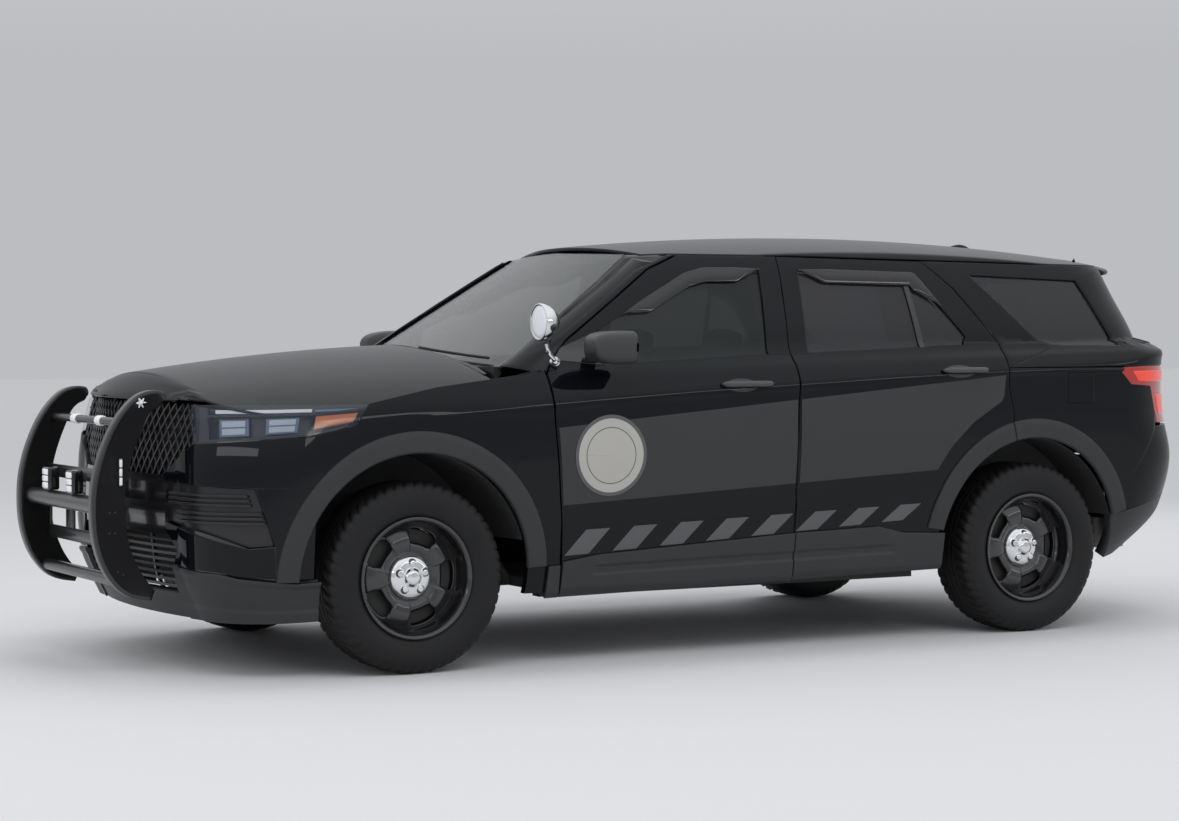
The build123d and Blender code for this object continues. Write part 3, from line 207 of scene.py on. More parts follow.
CHROME = Finish("polished_chrome", "chrome", (0.78, 0.79, 0.80), 0.09, metal=1.0, grain=500,
                bump=0.00001)
RED_LENS = Finish("red_lamp_lens", "lamp_red", (0.42, 0.008, 0.006), 0.12, coat=1.0, coat_rough=0.02,
                  spread=0.02)
RED_GLOW = Finish("red_lamp_core", "lamp_red", (0.80, 0.05, 0.02), 0.25, coat=0.6, glow=0.25)
AMBER = Finish("amber_reflector", "lamp_red", (0.62, 0.16, 0.03), 0.15, coat=1.0, coat_rough=0.02)
LAMP_AND_GLINT_WHITE = Finish("lamp_white", "lamp_white", (0.78, 0.82, 0.88), 0.2, coat=0.8, glow=0.25)
LAMP_GREY = Finish("lamp_bezel", "lamp_clear", (0.035, 0.037, 0.042), 0.28, coat=0.5, dust=0.02)
LAMP_BLUE = Finish("lamp_lens_ring", "lamp_clear", (0.16, 0.22, 0.33), 0.08, metal=0.6, coat=1.0)
LAMP_EYE = Finish("lamp_lens_block", "lamp_clear", (0.55, 0.63, 0.75), 0.05, metal=0.35, coat=1.0,
                  spread=0.01)
HANDLE_SATIN = Finish("satin_handle", "cladding", (0.065, 0.067, 0.070), 0.26, metal=0.5, coat=0.3,
                      grain=1200, bump=0.00001)
SMOKED = Finish("smoked_guard", "glass", (0.006, 0.006, 0.007), 0.06, coat=0.8, alpha=0.80, spread=0.01)
BAND_GREY = Finish("grey_band_film", "body_paint", (0.020, 0.021, 0.023), 0.42, dust=0.01, grain=1500,
                   bump=0.00001)
STRIPE_GREY = Finish("grey_stripe_film", "body_paint", (0.085, 0.087, 0.090), 0.45, dust=0.02,
                     grain=1500, bump=0.00001)
DISC_GREY = Finish("pale_disc_film", "body_paint", (0.42, 0.41, 0.38), 0.45, dust=0.02, grain=1500,
                   bump=0.00001)
INTERIOR = Finish("interior_plastic", "interior", (0.030, 0.030, 0.033), 0.6, dust=0.03, grain=1000,
                  bump=0.00010)
CLOTH = Finish("seat_cloth", "seat_cloth", (0.035, 0.035, 0.038), 0.85, sheen=0.4, grain=1200,
               bump=0.0004, dust=0.03)
HEADLINER = Finish("headliner_felt", "interior", (0.20, 0.20, 0.20), 0.95, sheen=0.2, grain=1500,
                   bump=0.0002, dust=0.02)
UNDERBODY = Finish("underbody_coat", "underbody", (0.020, 0.020, 0.020), 0.75, dust=0.08, grain=300,
                   bump=0.0004)
CASTING = Finish("rough_casting", "cast_metal", (0.10, 0.10, 0.10), 0.6, metal=0.7, dust=0.1, grain=350,
                 bump=0.0004)
EXHAUST = Finish("dull_exhaust_steel", "exhaust_steel", (0.22, 0.21, 0.20), 0.45, metal=0.9, dust=0.1,
                 grain=200, bump=0.0002)


# The car's form


def smooth_rows(heights: np.ndarray, values: np.ndarray, h: np.ndarray) -> np.ndarray:
    """Values between rows by a monotone cubic: Hermite pieces with harmonic-mean slopes.

    Args:
        heights: heights of the rows, growing.
        values: one row of values per height.
        h: heights asked for.

    Returns:
        One row of values for each height asked for.
    """
    step = np.diff(heights)
    chord = np.diff(values, axis=0) / step[:, None]
    slope = np.vstack([chord[:1], np.zeros_like(chord[1:]), chord[-1:]])
    same = chord[:-1] * chord[1:] > 0
    safe = np.where(same, chord[:-1] + chord[1:], 1.0)
    slope[1:-1] = np.where(same, 2 * chord[:-1] * chord[1:] / safe, 0.0)
    flat = np.clip(np.ravel(h), heights[0], heights[-1])
    i = np.clip(np.searchsorted(heights, flat) - 1, 0, len(step) - 1)
    t = ((flat - heights[i]) / step[i])[:, None]
    a, b = values[i], values[i + 1]
    m0, m1 = slope[i] * step[i][:, None], slope[i + 1] * step[i][:, None]
    made = ((2 * t**3 - 3 * t**2 + 1) * a + (t**3 - 2 * t**2 + t) * m0
            + (-2 * t**3 + 3 * t**2) * b + (t**3 - t**2) * m1)
    return made.reshape(*np.shape(h), values.shape[1])


def circle_through(a: Grid, b: Grid, c: Grid) -> tuple[Grid, Grid, Grid]:
    """Centre and radius of the circle through three points, where two bisectors cross.

    Args:
        a: first points, with x and y last.
        b: second points.
        c: third points.

    Returns:
        The centres' x, the centres' y and the radii.
    """
    ax, ay = a[..., 0], a[..., 1]
    bx, by = b[..., 0], b[..., 1]
    cx, cy = c[..., 0], c[..., 1]
    d = 2 * (ax * (by - cy) + bx * (cy - ay) + cx * (ay - by))
    sa, sb, sc = ax**2 + ay**2, bx**2 + by**2, cx**2 + cy**2
    ux = (sa * (by - cy) + sb * (cy - ay) + sc * (ay - by)) / d
    uy = (sa * (cx - bx) + sb * (ax - cx) + sc * (bx - ax)) / d
    return ux, uy, np.hypot(ax - ux, ay - uy)


@dataclass(frozen=True)
class Form:
    """A body form of plan outlines stacked by height.

    Each plan outline has a bowed nose, a corner arc, a long side arc, a rear corner arc
    and a bowed tail.

    Args:
        rows: height, rise in degrees, nose, tail, three half widths, two corner radii
            of the solids, and the tail and corner radius that the picture shows.
        nose_bow: how far the nose bows ahead of its corners.
        tail_bow: how far the solids' tail bows behind its corners.
        round_bow: how far the dressed tail bows behind its corners.
    """

    rows: tuple[tuple[float, ...], ...]
    nose_bow: float
    tail_bow: float
    round_bow: float

    def values(self, station: Grid, z: Grid) -> tuple[Grid, ...]:
        """The outline's values on the tilted plane that passes through each point.

        Args:
            station: stations of the points.
            z: heights of the points.

        Returns:
            Nose, tail, three half widths, two corner radii, and the dressed tail and its
            corner radius at each point.
        """
        table = np.array(self.rows, float)
        h = np.array(z, float)
        for _ in range(4):
            rise = smooth_rows(table[:, 0], table[:, 1:2], h)[..., 0]
            h = z + station * np.tan(np.radians(rise))
        got = smooth_rows(table[:, 0], table[:, 2:], h)
        return tuple(got[..., k] for k in range(9))

    def knots(self, v: tuple[Grid, ...]) -> dict[str, Grid]:
        """The points where the outline's arcs meet, and a middle point of each arc.

        Args:
            v: the outline's values.

        Returns:
            Points by letter, from the nose's corner to the tail's corner.
        """
        nose, tail, wf, wm, wr, rf, rr, end, round_r = v
        back, ending = REAR - tail, REAR - end + self.round_bow

        def pair(x: Grid, y: Grid) -> Grid:
            return np.stack([x + 0 * y, y + 0 * x], -1)

        made = {
            "n": pair(nose - self.nose_bow, wf - rf),
            "c": pair(nose - self.nose_bow - 0.22 * rf, wf - 0.36 * rf),
            "s": pair(nose - self.nose_bow - 0.95 * rf, wf),
            "m": pair((nose + back) / 2, wm),
            "q": pair(back + self.tail_bow + rr, wr),
        }
        ux, uy, r = circle_through(made["s"], made["m"], made["q"])
        x = ending + round_r
        wide = uy + np.sqrt(np.clip(r**2 - (x - ux) ** 2, 0, None))
        made["p"] = pair(x, wide)
        made["d"] = pair(ending + 0.293 * round_r, wide - 0.293 * round_r)
        made["t"] = pair(ending, wide - round_r)
        return made

    def half_width(self, station: Grid, z: Grid) -> Grid:
        """Half width at a side-view point, from the arc that covers its station.

        Args:
            station: stations of the points.
            z: heights of the points.

        Returns:
            The distance of the skin from the centre plane.
        """
        k = self.knots(self.values(station, z))
        widths = []
        for a, b, c in ("smq", "ncs", "pdt"):
            ux, uy, r = circle_through(k[a], k[b], k[c])
            widths.append(uy + np.sqrt(np.clip(r**2 - (station - ux) ** 2, 0, None)))
        made = np.where(station > k["s"][..., 0], widths[1], widths[0])
        return np.where(station < k["p"][..., 0], widths[2], made)

    def reach(self, angle: Grid, z: Grid, centre: float) -> tuple[Grid, Grid]:
        """Where a level ray from the centre plane meets the outline, at either end.

        A ray leaves (centre, 0) at an angle from straight ahead, and the first arc
        that holds its crossing gives the point.

        Args:
            angle: angles from the forward direction, towards the left.
            z: heights of the points.
            centre: station that the rays leave from.

        Returns:
            Stations and half widths of the crossings.
        """
        cos, sin = np.cos(angle), np.sin(angle)
        x = centre + 500 * cos
        for _ in range(4):
            k = self.knots(self.values(x, z))
            v = self.values(x, z)
            front = cos > 0
            bow = np.where(front, self.nose_bow, self.round_bow)
            corner = np.where(front[..., None], k["n"], k["t"])
            shoulder = np.where(front[..., None], k["s"], k["p"])
            middle = np.where(front[..., None], k["c"], k["d"])
            end = np.where(front, v[0], REAR - v[7])
            way = np.where(front, 1.0, -1.0)
            big = (corner[..., 1] ** 2 + bow**2) / (2 * bow)
            x1, y1 = self._cross(centre, cos, sin, end - way * big, 0 * big, big)
            ux, uy, r = circle_through(corner, middle, shoulder)
            x2, y2 = self._cross(centre, cos, sin, ux, uy, r)
            sx, sy, sr = circle_through(k["s"], k["m"], k["q"])
            x3, y3 = self._cross(centre, cos, sin, sx, sy, sr)
            past = way * (x2 - shoulder[..., 0]) < 0
            x = np.where(np.abs(y1) <= corner[..., 1], x1, np.where(past, x3, x2))
            y = np.where(np.abs(y1) <= corner[..., 1], y1, np.where(past, y3, y2))
        return x, y

    def end_at(self, y: Grid, z: Grid, way: float) -> Grid:
        """Station of the nose or tail at a front-view point.

        Args:
            y: distances from the centre plane.
            z: heights of the points.
            way: 1 for the nose, -1 for the tail.

        Returns:
            Stations of the skin, from the bowed end arc or from the corner arc.
        """
        y, z = np.abs(np.array(y, float)), np.array(z, float)
        x = np.full(np.shape(y + z), 800.0 if way > 0 else REAR - 1000)
        for _ in range(4):
            v = self.values(x, z)
            k = self.knots(v)
            corner, middle, shoulder = (k[c] for c in ("ncs" if way > 0 else "tdp"))
            end = v[0] if way > 0 else REAR - v[7]
            bow = self.nose_bow if way > 0 else self.round_bow
            big = (corner[..., 1] ** 2 + bow**2) / (2 * bow)
            x1 = end - way * big + way * np.sqrt(np.clip(big**2 - y**2, 0, None))
            ux, uy, r = circle_through(corner, middle, shoulder)
            x2 = ux + way * np.sqrt(np.clip(r**2 - (y - uy) ** 2, 0, None))
            x = np.where(y <= corner[..., 1], x1, x2)
        return x

    @staticmethod
    def _cross(centre: float, cos: Grid, sin: Grid, ux: Grid, uy: Grid,
               r: Grid) -> tuple[Grid, Grid]:
        """Far crossing of a ray with a circle, the larger root of its quadratic."""
        dx, dy = centre - ux, 0 - uy
        b = dx * cos + dy * sin
        root = np.sqrt(np.clip(b**2 - (dx**2 + dy**2 - r**2), 0, None))
        t = -b + root
        return centre + t * cos, t * sin


BODY = Form((
    (232, 1.0, 800, 960, 905, 933, 905, 330, 260, 800, 420),
    (430, 1.4, 885, 1085, 945, 960, 946, 370, 270, 1085, 470),
    (640, 1.6, 903, 1135, 966, 983, 970, 400, 270, 1135, 470),
    (830, 2.0, 900, 1100, 978, 997, 980, 430, 260, 1095, 500),
    (1015, 2.85, 880, 1058, 965, 995, 970, 440, 250, 1058, 430),
    (1120, 2.0, 855, 1032, 935, 968, 948, 440, 240, 1032, 345),
    (1195, 1.45, 790, 1012, 885, 915, 905, 430, 230, 1012, 370),
    (1300, 1.45, 700, 985, 790, 822, 812, 400, 200, 985, 365),
), 62.0, 42.0, 80.0)
CABIN = Form((
    (1150, 0, -285, 1012, 876, 921, 896, 150, 230, 1000, 320),
    (1300, 0, -520, 982, 848, 893, 868, 140, 220, 975, 410),
    (1480, 0, -802, 930, 790, 836, 812, 130, 210, 890, 385),
    (1640, 0, -1052, 868, 722, 768, 742, 120, 200, 790, 290),
    (1702, 0, -1150, 832, 662, 712, 688, 110, 180, 765, 260),
    (1748, 0, -1222, 790, 566, 622, 600, 100, 160, 742, 230),
    (1790, 0, -1290, 740, 430, 490, 470, 90, 140, 715, 200),
), 112.0, 60.0, 90.0)

HOOD_LINE = ((905, 1085), (870, 1136), (786, 1174), (300, 1236), (-430, 1284))
HOOD_CROWN = 2350.0
ROOF_LINE = ((-900, 1676), (-2330, 1763), (REAR - 1000, 1655))
ROOF_CROWN = 3300.0


def arc_height(points: Points, station: Grid) -> Grid:
    """Height on the upper side of the circle through three points.

    Args:
        points: three (station, height) points.
        station: stations asked for.

    Returns:
        Heights of the arc there.
    """
    a, b, c = (np.array(p, float) for p in points)
    ux, uz, r = circle_through(a, b, c)
    return uz + np.sqrt(np.clip(r**2 - (station - ux) ** 2, 0, None))


def crowned(line: Grid, y: Grid, radius: float, top: float) -> Grid:
    """A line turned about a low axis: the height falls with y as on a circle.

    Args:
        line: heights on the centre line.
        y: distances from the centre plane.
        radius: crown radius.
        top: height that sets the axis below the line.

    Returns:
        Heights of the crowned surface.
    """
    axis = top - radius
    return axis + np.sqrt(np.clip((line - axis) ** 2 - y**2, 0, None))


def hood_height(station: Grid, y: Grid) -> Grid:
    """Height of the hood's crowned top: two arcs along it, one crown across it."""
    front = arc_height(HOOD_LINE[:3], station)
    back = arc_height(HOOD_LINE[2:], station)
    line = np.where(station > HOOD_LINE[2][0], front, back)
    return crowned(line, y, HOOD_CROWN, HOOD_LINE[-1][1])


def roof_height(station: Grid, y: Grid) -> Grid:
    """Height of the roof's crowned top: one arc along it, one crown across it."""
    return crowned(arc_height(ROOF_LINE, station), y, ROOF_CROWN, ROOF_LINE[1][1])


def highest(low: Grid, limit: float, inside: Callable[[Grid], Grid]) -> Grid:
    """Greatest height that is still inside a form, by halving the span.

    Args:
        low: heights inside the form.
        limit: height above the form.
        inside: tells which heights are inside.

    Returns:
        One height for each low one.
    """
    a, b = np.array(low, float), np.full(np.shape(low), limit)
    for _ in range(HALVINGS):
        mid = (a + b) / 2
        keep = inside(mid)
        a, b = np.where(keep, mid, a), np.where(keep, b, mid)
    return a


def side_skin(station: Grid, z: Grid) -> Grid:
    """Half width of the dressed side: the larger of body and cabin, blended over 8 mm."""
    lower = BODY.half_width(station, z)
    upper = CABIN.half_width(station, np.maximum(z, CABIN_FOOT))
    upper = np.where(z < CABIN_FOOT, 0.0, upper)
    joined = (lower + upper + np.sqrt((lower - upper) ** 2 + JOIN_BLEND**2)) / 2
    return np.where(z < CABIN_FOOT, lower, np.where(z > BODY_HEAD, upper, joined))


# Meshes


def xyz(x: Grid, y: Grid, z: Grid) -> Grid:
    """Points from three coordinates, which broadcast to one shape."""
    return np.stack(np.broadcast_arrays(x, y, z), -1)


def resample(points: Points, count: int) -> Grid:
    """Points at even distances along a polyline.

    Args:
        points: the polyline's corners.
        count: how many points are asked for.

    Returns:
        The even points.
    """
    p = np.array(points, float)
    step = np.concatenate([[0], np.cumsum(np.linalg.norm(np.diff(p, axis=0), axis=1))])
    at = np.linspace(0, step[-1], count)
    return np.stack([np.interp(at, step, p[:, k]) for k in range(p.shape[1])], -1)


def coons(bottom: Points, top: Points, n: int, m: int, right: Points = (),
          left: Points = ()) -> Grid:
    """A flat patch between four edges: two ruled sheets added, less the bilinear one.

    Args:
        bottom: edge from the left corner to the right corner.
        top: edge from the left corner to the right corner.
        n: points along the bottom.
        m: points up the side.
        right: edge from the bottom to the top, straight if left out.
        left: edge from the bottom to the top, straight if left out.

    Returns:
        A grid of points.
    """
    right = right if len(right) else (bottom[-1], top[-1])
    left = left if len(left) else (bottom[0], top[0])
    b, t = resample(bottom, n)[:, None], resample(top, n)[:, None]
    l, r = resample(left, m)[None], resample(right, m)[None]
    u = np.linspace(0, 1, n)[:, None, None]
    v = np.linspace(0, 1, m)[None, :, None]
    corners = ((1 - u) * (1 - v) * b[0, 0] + u * (1 - v) * b[-1, 0]
               + (1 - u) * v * t[0, 0] + u * v * t[-1, 0])
    return (1 - v) * b + v * t + (1 - u) * l + u * r - corners


def mirrored(points: Points) -> Points:
    """Front-view points on the other side of the centre plane."""
    return [(-y, z) for y, z in points]


def band(outer: Points, inner: Points, n: int, m: int) -> Grid:
    """A flat band between two polylines whose corners pair up, ruled straight across.

    Args:
        outer: the outer polyline.
        inner: the inner polyline, with as many corners.
        n: points along each pair of corners.
        m: points across.

    Returns:
        A grid of points.
    """
    knots = np.arange(len(outer), dtype=float)
    at = np.linspace(0, knots[-1], n * (len(outer) - 1) + 1)
    a, b = np.array(outer, float), np.array(inner, float)
    a = np.stack([np.interp(at, knots, a[:, k]) for k in (0, 1)], -1)
    b = np.stack([np.interp(at, knots, b[:, k]) for k in (0, 1)], -1)
    v = np.linspace(0, 1, m)[None, :, None]
    return (1 - v) * a[:, None] + v * b[:, None]


def grid_normals(grid: Grid, closed: bool = False) -> Grid:
    """Unit normals of a grid: the cross product of its two differences.

    Args:
        grid: points of the surface.
        closed: whether the first direction closes on itself.

    Returns:
        Unit normals.
    """
    if closed:
        du = np.roll(grid, -1, 0) - np.roll(grid, 1, 0)
    else:
        du = np.gradient(grid, axis=0)
    dv = np.gradient(grid, axis=1)
    n = np.cross(du, dv)
    return n / np.maximum(np.linalg.norm(n, axis=-1, keepdims=True), 1e-12)


def in_frame(points: Grid) -> Grid:
    """Car millimetres, with stations from the front axle, as metres of the shared frame."""
    world = points * MM
    world[..., 0] += AXLE_X
    return world


def make_mesh(name: str, vertices: Grid, faces: Grid, finish: Finish,
              smooth: bool = True) -> bpy.types.Object:
    """Puts arrays into a mesh object at the origin.

    Args:
        name: name of the piece.
        vertices: points in metres, in the car's frame.
        faces: four indices per face.
        finish: the piece's finish.
        smooth: whether faces shade smooth.

    Returns:
        The new object.
    """
    mesh = bpy.data.meshes.new(name)
    mesh.from_pydata(np.asarray(vertices, float).reshape(-1, 3).tolist(), [],
                     np.asarray(faces).tolist())
    mesh.polygons.foreach_set("use_smooth", [smooth] * len(mesh.polygons))
    mesh.materials.append(finish.material())
    mesh.update()
    piece = bpy.data.objects.new(name, mesh)
    bpy.context.scene.collection.objects.link(piece)
    return piece


def grid_faces(n: int, m: int, closed_u: bool = False, closed_v: bool = False) -> Grid:
    """Quad indices of an n by m grid, which may close in either direction."""
    i = np.arange(n if closed_u else n - 1)[:, None]
    j = np.arange(m if closed_v else m - 1)[None]
    a = (i * m + j).ravel()
    b = (((i + 1) % n) * m + j).ravel()
    c = (((i + 1) % n) * m + (j + 1) % m).ravel()
    d = (i * m + (j + 1) % m).ravel()
    return np.stack([a, b, c, d], -1)


class Shop:
    """Makes pieces from surfaces, hands them to a body and reports them."""

    def __init__(self) -> None:
        """Starts with no pieces."""
        self.pieces: list[bpy.types.Object] = []

    def keep(self, piece: bpy.types.Object, body: str, slot: str,
             replaced: Sequence[str] = ()) -> bpy.types.Object:
        """Rides a piece on its body and hides the nodes that it stands for.

        Args:
            piece: the finished object.
            body: the body's name in the record.
            slot: the record's material slot; not used.
            replaced: nodes that the piece stands for.

        Returns:
            The same object.
        """
        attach(piece, body)
        if replaced:
            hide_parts(*replaced)
        self.pieces.append(piece)
        LOG.info("%s: %d faces on %s", piece.name, len(piece.data.polygons), body)
        return piece

    def skin(self, name: str, grid: Grid, side: Side | None, finish: Finish, body: str = "body",
             slot: str = "", turn: float = 9.0, edge: float = 0.8, away: Sequence[float] = (0, 1, 0),
             lift: float = SKIN_LIFT, replaced: Sequence[str] = (), closed: bool = False,
             part: str = "") -> bpy.types.Object:
        """A thin panel skin whose border turns inwards in two steps.

        Args:
            name: name of the piece, without its side.
            grid: points of the left-hand skin in car millimetres.
            side: side of the car, where the right one mirrors the left one's Y, or None
                for a piece on the centre plane.
            finish: the skin's finish.
            body: the body that it rides.
            slot: the record's material slot, if not the finish's usual one.
            turn: depth of the turned-in border.
            edge: radius step of the border.
            away: a direction that the skin faces.
            lift: height of the skin over the drawn surface.
            replaced: nodes that the skin stands for.
            closed: whether an inner sheet closes the panel at the border's depth.
            part: end of the name, after the side's word.

        Returns:
            The skin's object.
        """
        facing = np.sum(grid_normals(grid) * np.array(away)) > 0
        sign = 1.0 if facing else -1.0
        raised = grid + sign * grid_normals(grid) * lift
        framed = self._framed(self._framed(raised).swapaxes(0, 1)).swapaxes(0, 1)
        normals = sign * grid_normals(framed)
        framed = np.pad(framed, ((1, 1), (1, 1), (0, 0)), mode="edge")
        normals = np.pad(normals, ((1, 1), (1, 1), (0, 0)), mode="edge")
        depth = np.full(framed.shape[:2], turn)
        depth[1:-1, 1:-1] = edge
        depth[2:-2, 2:-2] = 0.0
        points = framed - normals * depth[..., None]
        faces = grid_faces(*points.shape[:2])
        if closed:
            inner = framed - normals * turn
            points = np.stack([points, inner])
            faces = np.concatenate([faces, faces[:, ::-1] + inner.shape[0] * inner.shape[1]])
        world = in_frame(points)
        if side is Side.RIGHT:
            world[..., 1] *= -1
        if facing == (side is Side.RIGHT):
            faces = faces[:, ::-1]
        piece = make_mesh(f"{name}_{side.word}{part}" if side else name, world, faces, finish)
        if closed:
            self.weld(piece, WELD, turned=False)
        return self.keep(piece, body, slot or finish.slot, replaced)

    @staticmethod
    def _framed(grid: Grid, strip: float = 1.6) -> Grid:
        """Adds a narrow row just inside the first and last rows, for a rounded edge."""
        def inside(a: Grid, b: Grid) -> Grid:
            way = b - a
            return a + way * (strip / np.maximum(np.linalg.norm(way, axis=-1, keepdims=True), strip * 2))

        return np.concatenate([grid[:1], inside(grid[:1], grid[1:2]), grid[1:-1],
                               inside(grid[-1:], grid[-2:-1]), grid[-1:]], 0)

    def solid(self, name: str, grid: Grid, finish: Finish, body: str = "body", slot: str = "",
              closed_u: bool = True, closed_v: bool = False, cap: bool = True,
              smooth: bool = True, replaced: Sequence[str] = ()) -> bpy.types.Object:
        """A tube-like surface, closed round its first direction, with its ends capped.

        Args:
            name: name of the piece.
            grid: points in car millimetres.
            finish: the finish.
            body: the body that it rides.
            slot: the record's material slot, if not the finish's usual one.
            closed_u: whether the first direction closes.
            closed_v: whether the second direction closes.
            cap: whether the ends close to their middle points.
            smooth: whether faces shade smooth.
            replaced: nodes that the piece stands for.

        Returns:
            The piece's object.
        """
        points = np.array(grid, float)
        if cap and not closed_v:
            first = np.broadcast_to(points[:, :1].mean(0, keepdims=True), points[:, :1].shape)
            last = np.broadcast_to(points[:, -1:].mean(0, keepdims=True), points[:, -1:].shape)
            points = np.concatenate([first, points, last], 1)
        n, m = points.shape[:2]
        faces = grid_faces(n, m, closed_u, closed_v)
        piece = make_mesh(name, in_frame(points), faces, finish, smooth)
        self.weld(piece, WELD)
        return self.keep(piece, body, slot or finish.slot, replaced)

    @staticmethod
    def weld(piece: bpy.types.Object, distance: float, turned: bool = True) -> None:
        """Merges doubled points and, where asked, turns every face outwards."""
        work = bmesh.new()
        work.from_mesh(piece.data)
        bmesh.ops.remove_doubles(work, verts=work.verts, dist=distance)
        bmesh.ops.dissolve_degenerate(work, edges=work.edges, dist=distance / 2)
        if turned:
            bmesh.ops.recalc_face_normals(work, faces=work.faces)
        work.to_mesh(piece.data)
        work.free()


class Wrap:
    """Outlines that run round a corner of the car, drawn by angle and height.

    A point tagged "s" is drawn in the side view, and one tagged "e" in the end view. Both
    become the angle at which a level ray from the centre station meets them.
    """

    def __init__(self, form: Form, centre: float, way: float) -> None:
        """Keeps the form and the rays' station.

        Args:
            form: the form that the outline lies on.
            centre: station that the rays leave from.
            way: 1 at the nose, -1 at the tail.
        """
        self.form, self.centre, self.way = form, centre, way

    def flat(self, points: Sequence[tuple[str, float, float]]) -> Grid:
        """Angle and height of each tagged point, with the angle in pseudo-millimetres.

        Args:
            points: tagged points.

        Returns:
            One row of angle times ANGLE_SCALE and height per point.
        """
        made = []
        for tag, a, z in points:
            at = np.array([float(a)]), np.array([float(z)])
            if tag == "s":
                x, y = at[0], self.form.half_width(*at)
            else:
                x, y = self.form.end_at(*at, self.way), at[0]
            made.append((ANGLE_SCALE * math.atan2(y[0], x[0] - self.centre), z))
        return np.array(made)

    def lift(self, flat: Grid) -> Grid:
        """Places angle-and-height points on the form."""
        x, y = self.form.reach(flat[..., 0] / ANGLE_SCALE, flat[..., 1], self.centre)
        return xyz(x, y, flat[..., 1])

    def panel(self, bottom: Sequence, top: Sequence, n: int, m: int, right: Sequence = (),
              left: Sequence = ()) -> Grid:
        """A patch between four tagged edges, placed on the form, with straight sides by default."""
        return self.lift(coons(self.flat(bottom), self.flat(top), n, m, self.flat(right),
                               self.flat(left)))


def on_side(flat: Grid) -> Grid:
    """Places side-view points on the car's dressed side, with its pressed lines."""
    x, z = flat[..., 0], flat[..., 1]
    return xyz(x, side_skin(x, z) + pressed(x, z), z)


def pressed(x: Grid, z: Grid) -> Grid:
    """Height of the shoulder line and the low line: height x exp(-|distance| / width).

    Args:
        x: stations.
        z: heights above the ground.

    Returns:
        Outward offset of the panels.
    """
    shoulder = np.interp(x, [-3385, -2819, -2279, -1763, -1269, -613, -60],
                         [1168, 1156, 1139, 1114, 1090, 1045, 1004])
    fade = np.clip((x + 3560) / 300, 0, 1) * np.clip((40 - x) / 420, 0, 1)
    near = np.sqrt((z - shoulder) ** 2 + 3.0**2) - 3.0
    made = 5.0 * fade * np.exp(-near / 26)
    low = np.interp(x, [-2520, -1760, -640], [640, 600, 566])
    fade = np.clip((x + 2700) / 260, 0, 1) * np.clip((-560 - x) / 260, 0, 1)
    near = np.sqrt((z - low) ** 2 + 4.0**2) - 4.0
    return made + 4.0 * fade * np.exp(-near / 34)


def on_tail(flat: Grid) -> Grid:
    """Places rear-view points on the tail: the further back of body and cabin, blended."""
    y, z = flat[..., 0], flat[..., 1]
    lower = BODY.end_at(y, z, -1)
    upper = np.where(z < CABIN_FOOT, 0.0, CABIN.end_at(y, np.maximum(z, CABIN_FOOT), -1))
    joined = (lower + upper - np.sqrt((lower - upper) ** 2 + JOIN_BLEND**2)) / 2
    x = np.where(z < CABIN_FOOT, lower, np.where(z > BODY_HEAD, upper, joined))
    return xyz(x, y, z)


def on_screen(flat: Grid) -> Grid:
    """Places front-view points on the cabin's raked front."""
    x = CABIN.end_at(flat[..., 0], flat[..., 1], 1)
    return xyz(x, flat[..., 0], flat[..., 1])


def arch_points(station: float, radius: float, start: float, stop: float, count: int = 30) -> Points:
    """Points on a wheel arch: angles from the forward direction, in degrees."""
    turn = np.radians(np.linspace(start, stop, count))
    return list(zip(station + radius * np.cos(turn), AXLE_Z + radius * np.sin(turn)))


def full_turn(count: int) -> Grid:
    """A column of angles round a full circle."""
    return np.linspace(0, 2 * np.pi, count, endpoint=False)[:, None]


def revolve(profile: Points, station: float, side: Side, count: int = 96) -> Grid:
    """A profile turned about an axle: each point's radius sweeps a full circle.

    Args:
        profile: (outboard distance from the track, radius) points.
        station: the axle's station.
        side: side of the car.
        count: points round the axle.

    Returns:
        A grid, closed round its first direction.
    """
    p = np.array(profile, float)
    turn = full_turn(count)
    x = station + p[None, :, 1] * np.cos(turn)
    z = AXLE_Z + p[None, :, 1] * np.sin(turn)
    return xyz(x, side.value * (TRACK / 2 + p[None, :, 0]), z)


def tube(path: Points, radius: float | Grid, around: int = 20, flatten: float = 1.0) -> Grid:
    """A round tube: a circle carried along a path, square to it.

    Args:
        path: points of the path in car millimetres.
        radius: radius, or one radius per point.
        around: points round the tube.
        flatten: height of the section over its width.

    Returns:
        A grid, closed round its first direction.
    """
    p = np.array(path, float)
    tangent = np.gradient(p, axis=0)
    tangent /= np.linalg.norm(tangent, axis=1, keepdims=True)
    up = np.where(np.abs(tangent[:, 2:3]) > 0.9, [[1.0, 0, 0]], [[0, 0, 1.0]])
    across = np.cross(tangent, up)
    across /= np.linalg.norm(across, axis=1, keepdims=True)
    upward = np.cross(across, tangent)
    turn = full_turn(around)[..., None]
    r = np.broadcast_to(np.asarray(radius, float), (len(p),))[None, :, None]
    return p[None] + r * (np.cos(turn) * across[None] + flatten * np.sin(turn) * upward[None])


